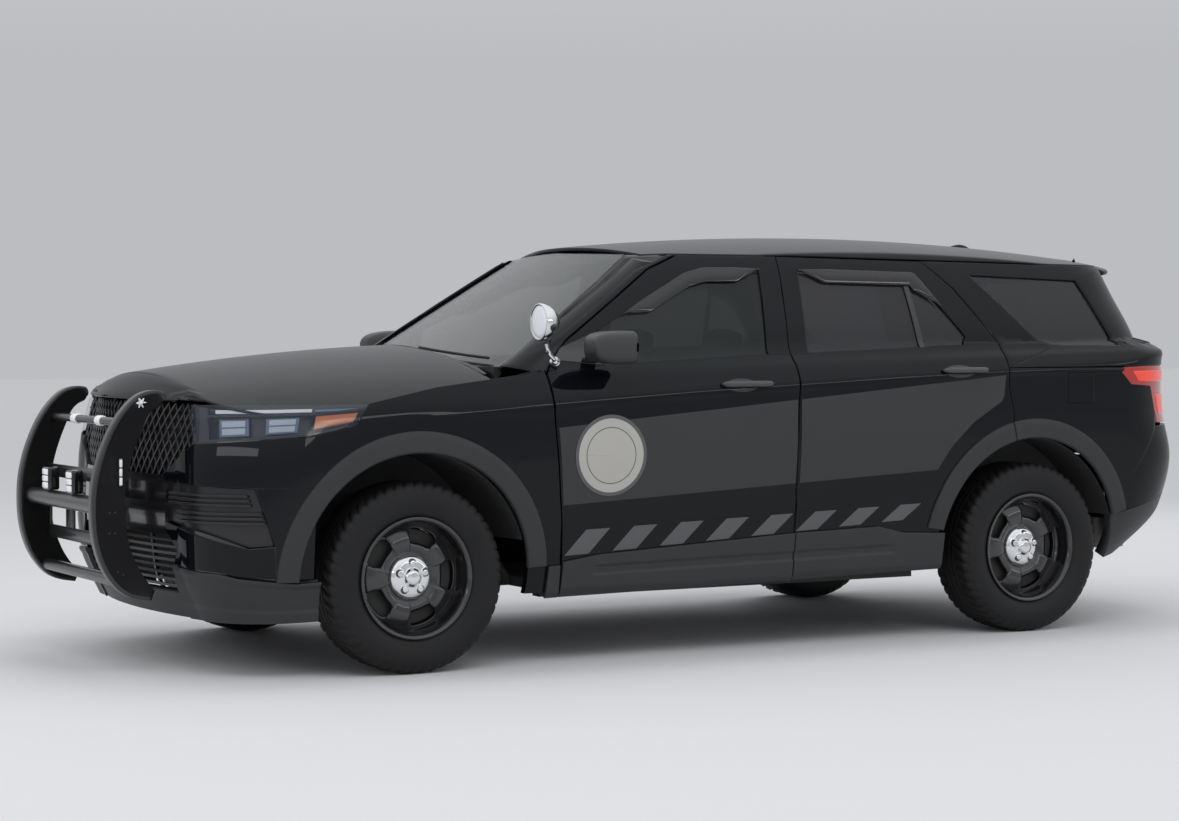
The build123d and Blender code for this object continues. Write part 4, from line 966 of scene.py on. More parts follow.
def slab(outline: Points, low: float, high: float, axis: int, edge: float = 3.0) -> Grid:
    """A flat outline given a thickness, with its two rims stepped in by the edge radius.

    Args:
        outline: closed outline in the two axes that aren't the thickness.
        low: one face along the thickness.
        high: the other face.
        axis: 0 for a front-view outline, 1 for a side-view one, 2 for a plan one.
        edge: step of the rims.

    Returns:
        A grid, closed round its first direction.
    """
    p = np.array(outline, float)
    centre = p.mean(0)
    away = p - centre
    size = np.linalg.norm(away, axis=1, keepdims=True)
    inner = p - away / np.maximum(size, 1e-6) * edge
    layers = [(inner, low), (p, low + edge), (p, high - edge), (inner, high)]
    made = []
    for flat, at in layers:
        row = np.full((len(p), 3), at, float)
        row[:, [k for k in range(3) if k != axis]] = flat
        made.append(row)
    return np.stack(made, 1)


def chaikin(points: Points, rounds: int) -> Grid:
    """Cuts the corners of an open polyline: each pass keeps points at 1/4 and 3/4.

    Args:
        points: the polyline.
        rounds: passes.

    Returns:
        The smoothed polyline, with its ends kept.
    """
    p = np.array(points, float)
    for _ in range(rounds):
        a, b = p[:-1], p[1:]
        mixed = np.stack([0.75 * a + 0.25 * b, 0.25 * a + 0.75 * b], 1).reshape(-1, p.shape[1])
        p = np.concatenate([p[:1], mixed[1:-1], p[-1:]])
    return p


def rounded_box(width: float, height: float, radius: float, count: int = 8) -> Grid:
    """A rectangle with round corners about the origin, as a closed outline."""
    made = []
    for k, (sx, sy) in enumerate(((1, 1), (-1, 1), (-1, -1), (1, -1))):
        turn = np.radians(np.linspace(90 * k, 90 * (k + 1), count))
        cx, cy = sx * (width / 2 - radius), sy * (height / 2 - radius)
        made.append(np.stack([cx + radius * np.cos(turn), cy + radius * np.sin(turn)], -1))
    return np.concatenate(made)


# Assemblies


QUARTER_WALL = 40.0
FRAME_WALL = 24.0
GATE_WALL = 34.0
FILLER = (-3367.0, -3213.0, 1016.0, 1154.0)
UPRIGHT_LOW = 436.0
UPRIGHT_HIGH = 489.0
SCREEN_EDGE = ((745, 1198), (738, 1240), (706, 1300), (676, 1362), (634, 1458), (590, 1556),
               (532, 1655))


@dataclass
class SideSkins:
    """Painted panels of one side, with their window frames."""

    shop: Shop
    side: Side
    fender: dict[str, Points] = field(default_factory=lambda: {
        "bottom": [(-634, 398), (-559, 398)] + arch_points(0, 557, 177.7, 46.4)[1:],
        "right": [(384, 779), (262, 977), (206, 1060)],
        "top": [(-579, 1165), (-560, 1187), (-447, 1164), (-90, 1123), (206, 1064)],
        "left": [(-634, 398), (-634, 560), (-597, 945), (-579, 1165)]})
    front_low: dict[str, Points] = field(default_factory=lambda: {
        "bottom": [(-1757, 466), (-808, 416), (-649, 392)],
        "right": [(-649, 392), (-641, 560), (-604, 945), (-592, 1165)],
        "top": [(-1768.5, 1241), (-1664, 1241), (-862, 1201), (-592, 1165)],
        "left": [(-1757, 466), (-1749, 840), (-1768.5, 1241)]})
    front_outer: tuple = ((-588, 1165), (-643, 1232), (-733, 1302), (-1178, 1597), (-1331, 1658),
                          (-1805, 1658), (-1768.5, 1241))
    front_inner: tuple = ((-862, 1201), (-864, 1270), (-868, 1342), (-1325, 1577), (-1420, 1602),
                          (-1704, 1606), (-1664, 1241))
    rear_low: dict[str, Points] = field(default_factory=lambda: {
        "bottom": arch_points(REAR, 560, 77.3, 8.3) + [(-2323, 450), (-2191, 480), (-1767, 470)],
        "right": [(-1767, 470), (-1759, 840), (-1778, 1241)],
        "top": [(-2883, 1278), (-2690, 1278), (-1862, 1245), (-1778, 1241)],
        "left": [(-2902, 922), (-2902, 978), (-2876, 1098), (-2876, 1193), (-2883, 1278)]})
    rear_outer: tuple = ((-1774.5, 1241), (-1811, 1658), (-2553, 1646), (-2688, 1529),
                         (-2883, 1290), (-2883, 1278))
    rear_inner: tuple = ((-1862, 1245), (-1893, 1604), (-2485, 1592), (-2600, 1456),
                         (-2716, 1316), (-2690, 1278))
    quarter_low: dict[str, Points] = field(default_factory=lambda: {
        "bottom": [(-3510, 657)] + arch_points(REAR, 560, 149.5, 78.0)[1:],
        "right": [(-2908, 924), (-2908, 978), (-2882, 1098), (-2882, 1176)],
        "top": [(-3780, 1176), (-2882, 1176)],
        "left": [(-3510, 657), (-3625, 703), (-3762, 890), (-3786, 1000), (-3780, 1176)]})

    def dress(self) -> None:
        """Makes every painted skin of this side."""
        self._low("fender_skin", self.fender, "body", 56, 36)
        self._low("front_door_skin", self.front_low, f"front_door_{self.side.word}_body", 60, 48)
        self._low("rear_door_skin", self.rear_low, f"rear_door_{self.side.word}_body", 60, 48)
        self._low("quarter_skin", self.quarter_low, "body", 50, 36)
        self._frame("front_door_frame", self.front_outer, self.front_inner,
                    f"front_door_{self.side.word}_body")
        self._frame("rear_door_frame", self.rear_outer, self.rear_inner,
                    f"rear_door_{self.side.word}_body")
        self._quarter_top()

    def _low(self, name: str, edges: dict[str, Points], body: str, n: int, m: int) -> None:
        """One panel below the windows, from its four edges."""
        flat = coons(n=n, m=m, **edges)
        thick = name == "quarter_skin"
        made = self.shop.skin(name, on_side(flat), self.side, GLOSS_BLACK, body,
                              turn=QUARTER_WALL if thick else 5, closed=thick,
                              replaced=[f"rear_quarter_{self.side.word}"] if thick else [])
        if thick and self.side is Side.LEFT:
            self._filler(made)

    def _filler(self, quarter: bpy.types.Object) -> None:
        """Cuts the fuel filler's opening in the quarter and makes its cup and flap."""
        rear, front, low, high = FILLER
        work = bmesh.new()
        work.from_mesh(quarter.data)
        for axis, at in ((0, rear), (0, front), (2, low), (2, high)):
            point, normal = [0.0, 0.0, 0.0], [0.0, 0.0, 0.0]
            point[axis] = at * MM + (AXLE_X if axis == 0 else 0.0)
            normal[axis] = 1.0
            bmesh.ops.bisect_plane(work, geom=work.verts[:] + work.edges[:] + work.faces[:],
                                   plane_co=point, plane_no=normal, dist=1e-6)
        inside = [f for f in work.faces
                  if rear < (f.calc_center_median().x - AXLE_X) / MM < front
                  and low < f.calc_center_median().z / MM < high]
        bmesh.ops.delete(work, geom=inside, context="FACES")
        work.to_mesh(quarter.data)
        work.free()
        middle = np.array([(rear + front) / 2, (low + high) / 2])
        rows = []
        for grow, depth in ((0.2, 0), (0.2, 38), (-60, 38), (-67, 38), (-67, 41), (3, 41), (3, 2)):
            outline = rounded_box(front - rear + 2 * grow, high - low + 2 * grow, 1.0, 4) + middle
            y = side_skin(outline[:, 0], outline[:, 1]) + 1.2 - depth
            rows.append(xyz(outline[:, 0], y, outline[:, 1]))
        self.shop.solid("fuel_filler_cup", np.stack(rows, 1), UNDERBODY, closed_v=True, cap=False)
        a, b, c, d = rear + 2.5, front - 2.5, low + 2.5, high - 2.5
        flat = coons([(a, c), (b, c)], [(a, d), (b, d)], 24, 24)
        self.shop.skin("fuel_flap_skin", on_side(flat), None, GLOSS_BLACK, "fuel_flap_body", turn=4,
                       closed=True, replaced=["fuel_flap"])

    def _frame(self, name: str, outer: Points, inner: Points, body: str) -> None:
        """One window frame, ruled between the door's edge and the glass."""
        grid = on_side(band(outer, inner, 14, 8))
        self.shop.skin(name, grid, self.side, GLOSS_BLACK, body, turn=12)

    def _quarter_top(self) -> None:
        """The quarter panel round its window, out to the liftgate."""
        def rear(y: float, z: float) -> tuple[float, float]:
            flat = np.array([[y, z]], float)
            return float(on_tail(flat)[0, 0]), z

        g = rear(736, 1184)
        outer = [(-2882, 1179), (-2890, 1288), (-2693, 1534), (-2556, 1648), (-3660, 1636),
                 rear(712, 1440), g, (-3300, 1180), (-2882, 1179)]
        inner = [(-3197, 1276), (-3115, 1300), (-2960, 1445), (-2804, 1589), (-3416, 1570),
                 (-3493, 1424), (-3570, 1277), (-3380, 1276), (-3197, 1276)]
        grid = on_side(band(outer, inner, 12, 14))
        self.shop.skin("quarter_frame", grid, self.side, GLOSS_BLACK, turn=FRAME_WALL, closed=True)


@dataclass
class TopSkins:
    """Hood, roof, windscreen pillars and the tail's painted skins."""

    shop: Shop
    hood_edge: Points = ((-450, 1170), (-90, 1131), (213, 1071))
    hood_back: float = -336.0
    hood_front: float = 868.0
    hood_sweep: float = 62.0
    roof_front: float = -1168.0
    roof_rear: float = -3800.0
    roof_blend: float = 6.0
    spoiler_half: float = 590.0

    def dress(self) -> None:
        """Makes the skins of the top and tail."""
        self._hood()
        self._roof()
        self._pillars()
        self._liftgate()

    def _hood(self) -> None:
        """Hood: across it a share of its half width, along it from the nose to the cowl."""
        share = np.linspace(-1, 1, 81)[:, None]
        v = np.linspace(0, 1, 60)[None]
        back = self.hood_back - (1 - np.sqrt(1 - 0.16 * share**2)) * 1400
        front = self.hood_front - self.hood_sweep * share**2 * 0.9
        x = back + v * (front - back)
        z_edge = np.interp(x, *zip(*self.hood_edge))
        width = BODY.half_width(np.minimum(x, 800.0), z_edge)
        y = share * width
        top = hood_height(x, np.abs(y))
        skin = self._skin_height(x, np.abs(y), z_edge)
        z = np.minimum(top, skin)
        grid = xyz(x, y, z)
        self.shop.skin("hood_skin", grid, None, GLOSS_BLACK, "hood_body", away=(0, 0, 1))

    @staticmethod
    def _skin_height(x: Grid, y: Grid, low: Grid) -> Grid:
        """Height at which the body's skin passes a plan point, by halving the span."""
        return highest(low, 1296.0, lambda z: (BODY.half_width(x, z) > y)
                       & (BODY.end_at(y, z, 1) > x))

    def _roof(self) -> None:
        """Roof: across it a share of the half width at its rail, along it nose to tail."""
        share = np.sin(np.linspace(-np.pi / 2, np.pi / 2, 81))[:, None]
        v = np.linspace(0, 1, 60)[None]
        front = self.roof_front + 8 - 118 * share**2
        back = self.roof_rear + 45 * share**2 + 150 * np.abs(share) ** 7
        x = front + v * (back - front)
        rail = np.interp(x, [REAR - 790, REAR + 470, -1808, -1178], [1640, 1654, 1666, 1666.0])
        y = np.abs(share) * CABIN.half_width(x, rail)
        a = highest(rail, 1789.0, lambda z: (CABIN.half_width(x, z) > y)
                    & (CABIN.end_at(y, z, -1) < x) & (CABIN.end_at(y, z, 1) > x))
        top = roof_height(x, y)
        z = (a + top - np.sqrt((a - top) ** 2 + self.roof_blend**2)) / 2 + self.roof_blend / 2
        grid = xyz(x, y * np.sign(share), np.maximum(z, rail))
        self.shop.skin("roof_skin", grid, None, GLOSS_BLACK, away=(0, 0, 1), turn=22, closed=True,
                       replaced=["roof_panel"])
        lining = grid[4:-4, 3:-3] - np.array([0, 0, 30.0])
        self.shop.skin("headliner", lining, None, HEADLINER, away=(0, 0, -1), turn=2)

    def _pillars(self) -> None:
        """Windscreen pillars: a band between the glass edge and the door's leading edge."""
        door = [(-579, 1170), (-636, 1234), (-725, 1306), (-880, 1408), (-1030, 1508),
                (-1175, 1604), (-1322, 1663)]
        for side in Side:
            inner = [tuple(on_screen(np.array([[y, z]]))[0]) for y, z in SCREEN_EDGE]
            outer = [tuple(on_side(np.array([[x, z]], float))[0]) for x, z in door]
            a, b = resample(inner, 40), resample(outer, 40)
            v = np.linspace(0, 1, 12)[None, :, None]
            ruled = (1 - v) * a[:, None] + v * b[:, None]
            flat = ruled[..., [0, 2]]
            wide = CABIN.half_width(np.minimum(flat[..., 0], 10), np.maximum(flat[..., 1], 1152))
            ruled[..., 1] = np.maximum(ruled[..., 1], np.minimum(wide, ruled[..., 1] + 30))
            self.shop.skin("pillar_skin", ruled, side, GLOSS_BLACK, away=(0.4, 1, 0.3))

    def _liftgate(self) -> None:
        """Liftgate: a panel below its glass, a frame round it and the roof spoiler."""
        edge = [(640, 730), (700, 900), (728, 1180), (733, 1258)]
        low = coons([(-640, 730), (640, 730)], [(-733, 1258), (-630, 1260), (630, 1260), (733, 1258)],
                    80, 50, edge, mirrored(edge))
        self.shop.skin("liftgate_skin", on_tail(low), None, GLOSS_BLACK, "liftgate_body",
                       away=(-1, 0, 0), turn=GATE_WALL, closed=True, replaced=["liftgate"])
        outer = [(733, 1258), (735, 1290), (680, 1560), (655, 1634), (0, 1650), (-655, 1634),
                 (-680, 1560), (-735, 1290), (-733, 1258)]
        inner = [(630, 1260), (640, 1300), (585, 1560), (560, 1590), (0, 1592), (-560, 1590),
                 (-585, 1560), (-640, 1300), (-630, 1260)]
        grid = on_tail(band(outer, inner, 14, 8))
        self.shop.skin("liftgate_frame", grid, None, GLOSS_BLACK, "liftgate_body", away=(-1, 0, 0),
                       turn=GATE_WALL, closed=True)
        self._spoiler()

    def _spoiler(self) -> None:
        """Spoiler: a thin closed section carried across, its rear edge swept to the ends."""
        y = np.sin(np.linspace(-np.pi / 2, np.pi / 2, 61)) * self.spoiler_half
        end = (np.abs(y) / self.spoiler_half)[:, None]
        lead = -3660 - 60 * (1 - end**2)
        trail = -3940 + 100 * end**2 + 90 * end**9
        share = np.array([0, 0.25, 0.5, 0.75, 0.95, 1.0, 1.0, 0.96, 0.75, 0.4, 0.15, 0.05])[None]
        drop = np.array([0, 1, 2, 4, 8, 13, 21, 27, 33, 42, 46, 30])[None]
        x = lead + share * (trail - lead)
        top = roof_height(x, np.abs(y)[:, None] * np.ones_like(x))
        grid = xyz(x, y[:, None], top + 6 - 10 * end**6 - drop)
        self.shop.solid("roof_spoiler", grid.swapaxes(0, 1), GLOSS_BLACK, "liftgate_body")


@dataclass
class TailPieces:
    """Rear bumper, lower valance, tail lamps and the corner fillers over them."""

    shop: Shop
    wrap: Wrap = field(default_factory=lambda: Wrap(BODY, REAR - 300, -1))

    def dress(self) -> None:
        """Makes the tail's pieces."""
        for side in Side:
            self._bumper_side(side)
            grid = self.wrap.panel([("s", -3560, 1174), ("e", 700, 1176)],
                                   [("s", -3560, 1262), ("e", 704, 1266)], 30, 10)
            self.shop.skin("tail_corner", grid, side, GLOSS_BLACK, away=(-0.7, 0.7, 0), turn=20,
                           lift=-5.0, closed=True)
            self._lamp(side)
        middle = coons([(-646, 618), (646, 618)], [(-646, 722), (646, 722)], 60, 10)
        self.shop.skin("rear_bumper_middle", on_tail(middle), None, GLOSS_BLACK, away=(-1, 0, 0),
                       turn=60, closed=True, replaced=["rear_bumper"])
        low = coons([(-646, 372), (646, 372)], [(-646, 614), (646, 614)], 60, 20)
        grid = on_tail(low)
        depth = np.clip((grid[..., 2] - 400) / 60, 0, 1) * np.clip((585 - grid[..., 2]) / 40, 0, 1)
        depth *= np.clip((470 - np.abs(grid[..., 1])) / 30, 0, 1)
        grid[..., 0] += 14 * depth
        self.shop.skin("rear_valance_middle", grid, None, CLADDING, away=(-1, 0, 0), turn=50,
                       closed=True)

    def _bumper_side(self, side: Side) -> None:
        """The painted corner under the lamp and the dark valance below it."""
        grid = self.wrap.panel(
            [("s", -3500, 514), ("s", -3585, 528), ("e", 800, 603), ("e", 650, 618)],
            [("s", -3472, 647), ("s", -3625, 705), ("s", -3770, 905), ("e", 706, 908),
             ("e", 652, 722)], 60, 26)
        self.shop.skin("rear_bumper", grid, side, GLOSS_BLACK, away=(-0.7, 0.7, 0), turn=60,
                       closed=True)
        grid = self.wrap.panel(
            [("s", -3510, 306), ("s", -3600, 318), ("e", 800, 362), ("e", 650, 372)],
            [("s", -3500, 506), ("s", -3585, 521), ("e", 800, 598), ("e", 650, 614)], 50, 24)
        self.shop.skin("rear_valance", grid, side, CLADDING, away=(-0.7, 0.7, 0), turn=50, closed=True)

    def _lamp(self, side: Side) -> None:
        """An L of red lens: an arm along the side and a leg down the corner."""
        arm = self.wrap.panel(
            [("s", -3586, 1099), ("s", -3720, 1090), ("e", 724, 1088)],
            [("s", -3512, 1174), ("s", -3700, 1181), ("e", 732, 1178)], 40, 14)
        self._lens("tail_lamp_arm", arm, side, ["tail_lamps"])
        leg = self.wrap.panel([("s", -3790, 920), ("e", 712, 918)],
                              [("s", -3728, 1089), ("e", 723, 1087)], 20, 26)
        self._lens("tail_lamp_leg", leg, side, [])

    def _lens(self, name: str, grid: Grid, side: Side, replaced: Sequence[str]) -> None:
        """One red lens with a stepped glowing core inside its border."""
        self.shop.skin(name, grid, side, RED_LENS, away=(-0.5, 0.9, 0), turn=45, closed=True,
                       replaced=replaced, lift=2.0)
        n, m = grid.shape[:2]
        core = grid[n // 7: -n // 7 or None, m // 4: -(m // 4)]
        self.shop.skin(name, core, side, RED_GLOW, away=(-0.5, 0.9, 0), turn=3, edge=1.2, lift=4.4,
                       part="_core")


class Windows:
    """Every pane of glass, a closed sheet just under the paint."""

    side_panes = (
        ("front_window", "front_door_{}_body", FRONT_GLASS, "front_door_glass_{}",
         dict(bottom=[(-1664, 1241), (-862, 1201)], right=[(-862, 1201), (-868, 1342), (-1325, 1577)],
              top=[(-1704, 1606), (-1420, 1602), (-1325, 1577)])),
        ("rear_window", "rear_door_{}_body", PRIVACY_GLASS, "rear_door_glass_{}",
         dict(bottom=[(-2690, 1278), (-1862, 1245)], top=[(-2485, 1592), (-1893, 1604)],
              left=[(-2690, 1278), (-2716, 1316), (-2485, 1592)])),
        ("quarter_window", "body", PRIVACY_GLASS, "",
         dict(bottom=[(-3570, 1277), (-3197, 1276)], top=[(-3416, 1570), (-2804, 1589)],
              right=[(-3197, 1276), (-3115, 1300), (-2804, 1589)])),
    )

    def __init__(self, shop: Shop) -> None:
        """Keeps the shop that makes the panes."""
        self.shop = shop

    def dress(self) -> None:
        """Makes the side panes, the windscreen and the gate's pane."""
        for side in Side:
            for name, body, finish, node, edges in self.side_panes:
                flat = coons(n=40, m=24, **edges)
                replaced = [node.format(side.word)] if node else []
                self.shop.skin(name, on_side(flat), side, finish, body.format(side.word), turn=4,
                               lift=-8.0, replaced=replaced, closed=True)
        edge = [*SCREEN_EDGE, (505, 1674)]
        flat = coons([(-745, 1198), (745, 1198)], [(-505, 1674), (0, 1690), (505, 1674)], 80, 50,
                     edge, mirrored(edge))
        self.shop.skin("windscreen", on_screen(flat), None, SCREEN_GLASS, turn=4, lift=-8.0,
                       away=(1, 0, 1), replaced=["fixed_glass"], closed=True)
        gate = [(630, 1260), (640, 1300), (585, 1560), (560, 1590)]
        flat = coons([(-630, 1260), (630, 1260)], [(-560, 1590), (560, 1590)], 50, 24, gate,
                     mirrored(gate))
        self.shop.skin("gate_window", on_tail(flat), None, PRIVACY_GLASS, "liftgate_body", turn=4,
                       lift=-8.0, away=(-1, 0, 0), replaced=["liftgate_glass"], closed=True)


@dataclass
class RoadWheel:
    """A tyre on a deep black steel wheel with a chrome cap."""

    shop: Shop
    axle: str
    side: Side
    sidewall: Points = ((98, 231), (103, 243), (112, 255), (120, 272), (126, 302), (123.5, 338),
                        (116, 358), (104, 371), (90, 375.4), (60, 376), (30, 376), (0, 376))
    barrel: Points = ((112, 240), (104, 240), (103, 229.5), (44, 229.5), (24, 207), (-46, 207),
                      (-62, 229), (-104, 229), (-112, 240), (-113, 222), (-62, 219), (-48, 197),
                      (20, 197), (46, 219), (96, 220), (107, 225), (113, 233))
    grooves: tuple = (-46.0, -16.0, 16.0, 46.0)
    groove_deep: float = 8.0
    rib_half: float = 46.0
    block_from: float = 50.0
    blocks: int = 52
    slot_deep: float = 8.5
    shoulder_deep: float = 7.0
    tyre_steps: int = 312
    disc_inner: float = 76.0
    disc_outer: float = 206.5
    windows: int = 5
    window_mid: float = 163.0
    window_high: float = 31.0
    window_wide: float = 0.37
    lugs: int = 5
    lug_circle: float = 57.0
    lug_radius: float = 17.0
    lug_high: float = 13.0
    cap_radius: float = 86.5

    def dress(self) -> None:
        """Makes the tyre, the wheel and the cap."""
        self.station = 0.0 if self.axle == "front" else REAR
        self.body = f"{self.axle}_wheel_{self.side.word}"
        self._tyre()
        self._barrel()
        self._disc()
        self._cap()
        ring = [(9, 92), (14, 94), (14, 186), (11, 190), (8, 186), (8, 94)]
        self.shop.solid(self._name("brake_ring"), revolve(ring, self.station, self.side, 96), UNDERBODY,
                        self.body, slot="cast_metal", closed_v=True, cap=False)

    def _name(self, piece: str) -> str:
        """Name of a piece of this wheel."""
        return f"{piece}_{self.axle}_{self.side.word}"

    def _tyre(self) -> None:
        """Tyre: the section swept round, its tread cut by ring grooves and slanted slots.

        A slot is where the fraction of (blocks x turn + slant x distance) is small.
        """
        half = chaikin(self.sidewall, 2)
        loop = np.concatenate([half, (half * [-1, 1])[::-1][1:]])
        loop = resample(loop, 74)
        back = resample([(-98, 231), (0, 236), (98, 231)], 6)[1:-1]
        loop = np.concatenate([loop, back])
        turn = full_turn(self.tyre_steps)
        d, r = loop[None, :, 0] + 0 * turn, loop[None, :, 1] + 0 * turn
        tread = np.clip((r - 371.5) / 2.5, 0, 1)
        cut = np.zeros_like(d)
        for groove in self.grooves:
            cut = np.maximum(cut, np.clip(1.6 - np.abs(d - groove) / 3.4, 0, 1)
                             * self.groove_deep)
        phase = (turn * self.blocks / (2 * np.pi) + np.abs(d) * 0.012) % 1.0
        slot = np.clip(np.minimum(phase, 1 - phase) * -12 + 2.1, 0, 1)
        cut = np.maximum(cut, slot * self.slot_deep * (np.abs(d) > self.block_from))
        fine = (turn * 2 * self.blocks / (2 * np.pi) + d * 0.02) % 1.0
        cut = np.maximum(cut, np.clip(np.minimum(fine, 1 - fine) * -24 + 1.5, 0, 1) * 3.0
                         * (np.abs(d) < self.rib_half))
        shoulder = np.clip((r - 344) / 8, 0, 1) * (1 - tread) * (r > 300)
        cut = cut * tread + slot * self.shoulder_deep * shoulder
        ridge = sum(np.exp(-((r - at) / wide) ** 2) * high for at, wide, high in
                    ((262, 3, 1.8), (300, 1.5, 0.9), (346, 2.0, 1.4)))
        outward = np.sign(d) * ridge * (np.abs(d) > 90)
        x = self.station + (r - cut) * np.cos(turn)
        z = AXLE_Z + (r - cut) * np.sin(turn)
        y = self.side.value * (TRACK / 2 + d + outward - np.sign(d) * 1.8 * (ridge > 0.5))
        grid = xyz(x, y, z)
        self.shop.solid(self._name("dressed_tyre"), grid, RUBBER, self.body, closed_v=True, cap=False,
                        replaced=[f"tyre_{self.axle}_{self.side.word}"])

    def _barrel(self) -> None:
        """Rim barrel with its turned lips: a closed section swept round."""
        grid = revolve(chaikin(self.barrel + self.barrel[:1], 2)[:-1], self.station, self.side, 96)
        self.shop.solid(self._name("rim_barrel"), grid, WHEEL_BLACK, self.body, closed_v=True,
                        cap=False, replaced=[f"wheel_{self.axle}_{self.side.word}"])

    def _disc(self) -> None:
        """Pressed disc: two polar sheets that part round each opening.

        The opening's half height is H (1 - (a / w)^4)^(1/4) at the angle a from its middle.
        """
        share = np.sin(np.linspace(-np.pi / 2, np.pi / 2, 25))
        gap = np.pi / self.windows
        one = np.concatenate([share * self.window_wide,
                              np.linspace(self.window_wide, 2 * gap - self.window_wide, 12)[1:-1]])
        turn = np.concatenate([one + 2 * gap * k for k in range(self.windows)]) + math.radians(36)
        open_ = np.concatenate([(1 - share**4) ** 0.25, np.zeros(10)])
        high = np.tile(open_, self.windows)[:, None] * self.window_high
        v = np.linspace(0, 1, 8)[None]
        inner = self.disc_inner + v * (self.window_mid - high - self.disc_inner)
        outer = (self.window_mid + high) + v * (self.disc_outer - self.window_mid - high)
        grids = []
        for r in (inner, outer):
            rib = 5.0 * np.exp(-(high / 16) ** 2) * np.exp(-((r - 150) / 34) ** 2)
            d = np.interp(r, [70, 84, 112, 156, 190, 207], [26, 28, 46, 46, 36, 20]) + rib
            lip = np.exp(-((np.abs(r - self.window_mid) - high) / 5.0) ** 2) * (high > 3)
            d = d - 5.0 * lip
            x = self.station + r * np.cos(turn[:, None])
            z = AXLE_Z + r * np.sin(turn[:, None])
            grids.append(xyz(x, self.side.value * (TRACK / 2 + d), z))
        n, m = grids[0].shape[:2]
        faces = grid_faces(n, m, closed_u=True)
        both = np.concatenate([faces, faces + n * m])
        if self.side is Side.LEFT:
            both = both[:, ::-1]
        piece = make_mesh(self._name("wheel_disc"), in_frame(np.stack(grids)), both, WHEEL_BLACK)
        self.shop.weld(piece, 0.00005, turned=False)
        wall = piece.modifiers.new("pressed_steel", "SOLIDIFY")
        wall.thickness = 0.006
        wall.offset = -1
        self.shop.keep(piece, self.body, "wheel_paint")

    def _cap(self) -> None:
        """Chrome cap: a stepped dome with a bump over each lug nut."""
        turn = full_turn(120)
        dome = np.linspace(self.cap_radius, 1.5, 40)
        r = np.concatenate([[88.0, 89.0, 88.0], dome])[None]
        high = np.interp(dome, [0, 22, 28, 38, 66, 78, self.cap_radius], [84, 82, 79, 66, 62, 57, 49])
        d = np.concatenate([[30.0, 36.0, 46.0], high])[None] + 0 * turn
        for k in range(self.lugs):
            at = 2 * np.pi * k / self.lugs + math.radians(90)
            far = np.hypot(r * np.cos(turn) - self.lug_circle * math.cos(at),
                           r * np.sin(turn) - self.lug_circle * math.sin(at))
            bump = np.clip((self.lug_radius - far) / 6, 0, 1)
            d = d + self.lug_high * bump**2 * (3 - 2 * bump)
        grid = xyz(self.station + r * np.cos(turn), self.side.value * (TRACK / 2 + d),
                   AXLE_Z + r * np.sin(turn))
        self.shop.solid(self._name("chrome_cap"), grid, CHROME, self.body)


@dataclass
class Cladding:
    """Dark trim of one side: arch flares and the doors' lower cladding."""

    shop: Shop
    side: Side
    proud: float = 15.0

    def dress(self) -> None:
        """Makes the flares and the cladding."""
        word = self.side.word
        self._flare("front_flare", 0, 0.6, 177.6, "body", ["arch_flares"])
        self._flare("rear_flare", REAR, 77.4, 164.6, "body", [])
        self._flare("rear_door_flare", REAR, 11.0, 76.6, f"rear_door_{word}_body", [])
        self._rocker("front_door_cladding", [(-1757, 285), (-642, 268)],
                     [(-1757, 487), (-808, 435), (-648, 411)], f"front_door_{word}_body",
                     [f"front_door_trim_{word}"])
        self._rocker("rear_door_cladding", [(-2545, 300), (-1763, 286)],
                     [(-2548, 458), (-2323, 468), (-2191, 499), (-1763, 487)],
                     f"rear_door_{word}_body", [f"rear_door_trim_{word}"])
        self._rocker("fender_foot", [(-634, 268), (-575, 266)], [(-634, 398), (-583, 396)],
                     "body", [])

    def _flare(self, name: str, station: float, start: float, stop: float, body: str,
               replaced: Sequence[str]) -> None:
        """An arch band: its lift is round at the outer rim and rolls over at the opening."""
        turn = np.radians(np.linspace(start, stop, 90))[:, None]
        v = np.concatenate([[0, 0.02, 0.05, 0.09], np.linspace(0.14, 0.9, 10), [0.94, 0.97, 1.0]])[None]
        r = ARCH_RADIUS + 1 + v * (FLARE_RADIUS - ARCH_RADIUS - 2)
        flat = np.stack([station + r * np.cos(turn), AXLE_Z + r * np.sin(turn)], -1)
        grid = on_side(flat)
        rise = np.clip(v / 0.09, 0, 1) ** 0.5 * np.clip((1 - v) / 0.06, 0, 1) ** 0.5
        step = 2.2 * np.clip((v - 0.80) / 0.03, 0, 1)
        grid[..., 1] += self.proud * rise - step
        self.shop.skin(name, grid, self.side, CLADDING, body, turn=34, edge=0.5, lift=0.6,
                       replaced=replaced, closed=True)

    def _rocker(self, name: str, bottom: Points, top: Points, body: str,
                replaced: Sequence[str]) -> None:
        """A cladding strip with a long shallow channel along its middle."""
        flat = coons(bottom, top, 90, 40)
        grid = on_side(flat)
        middle = 372 - 0.018 * (flat[..., 0] + 700)
        channel = np.clip((21 - np.abs(flat[..., 1] - middle)) / 7, 0, 1)
        channel *= np.clip((-flat[..., 0] - 780) / 30, 0, 1) * np.clip((flat[..., 0] + 2290) / 30, 0, 1)
        fade = np.clip((flat[..., 1] - bottom[0][1] + 4) / 26, 0, 1) ** 0.5
        grid[..., 1] += self.proud * fade - 7 * channel
        self.shop.skin(name, grid, self.side, CLADDING, body, turn=26, edge=1.5, lift=0.6,
                       replaced=replaced, closed=True)


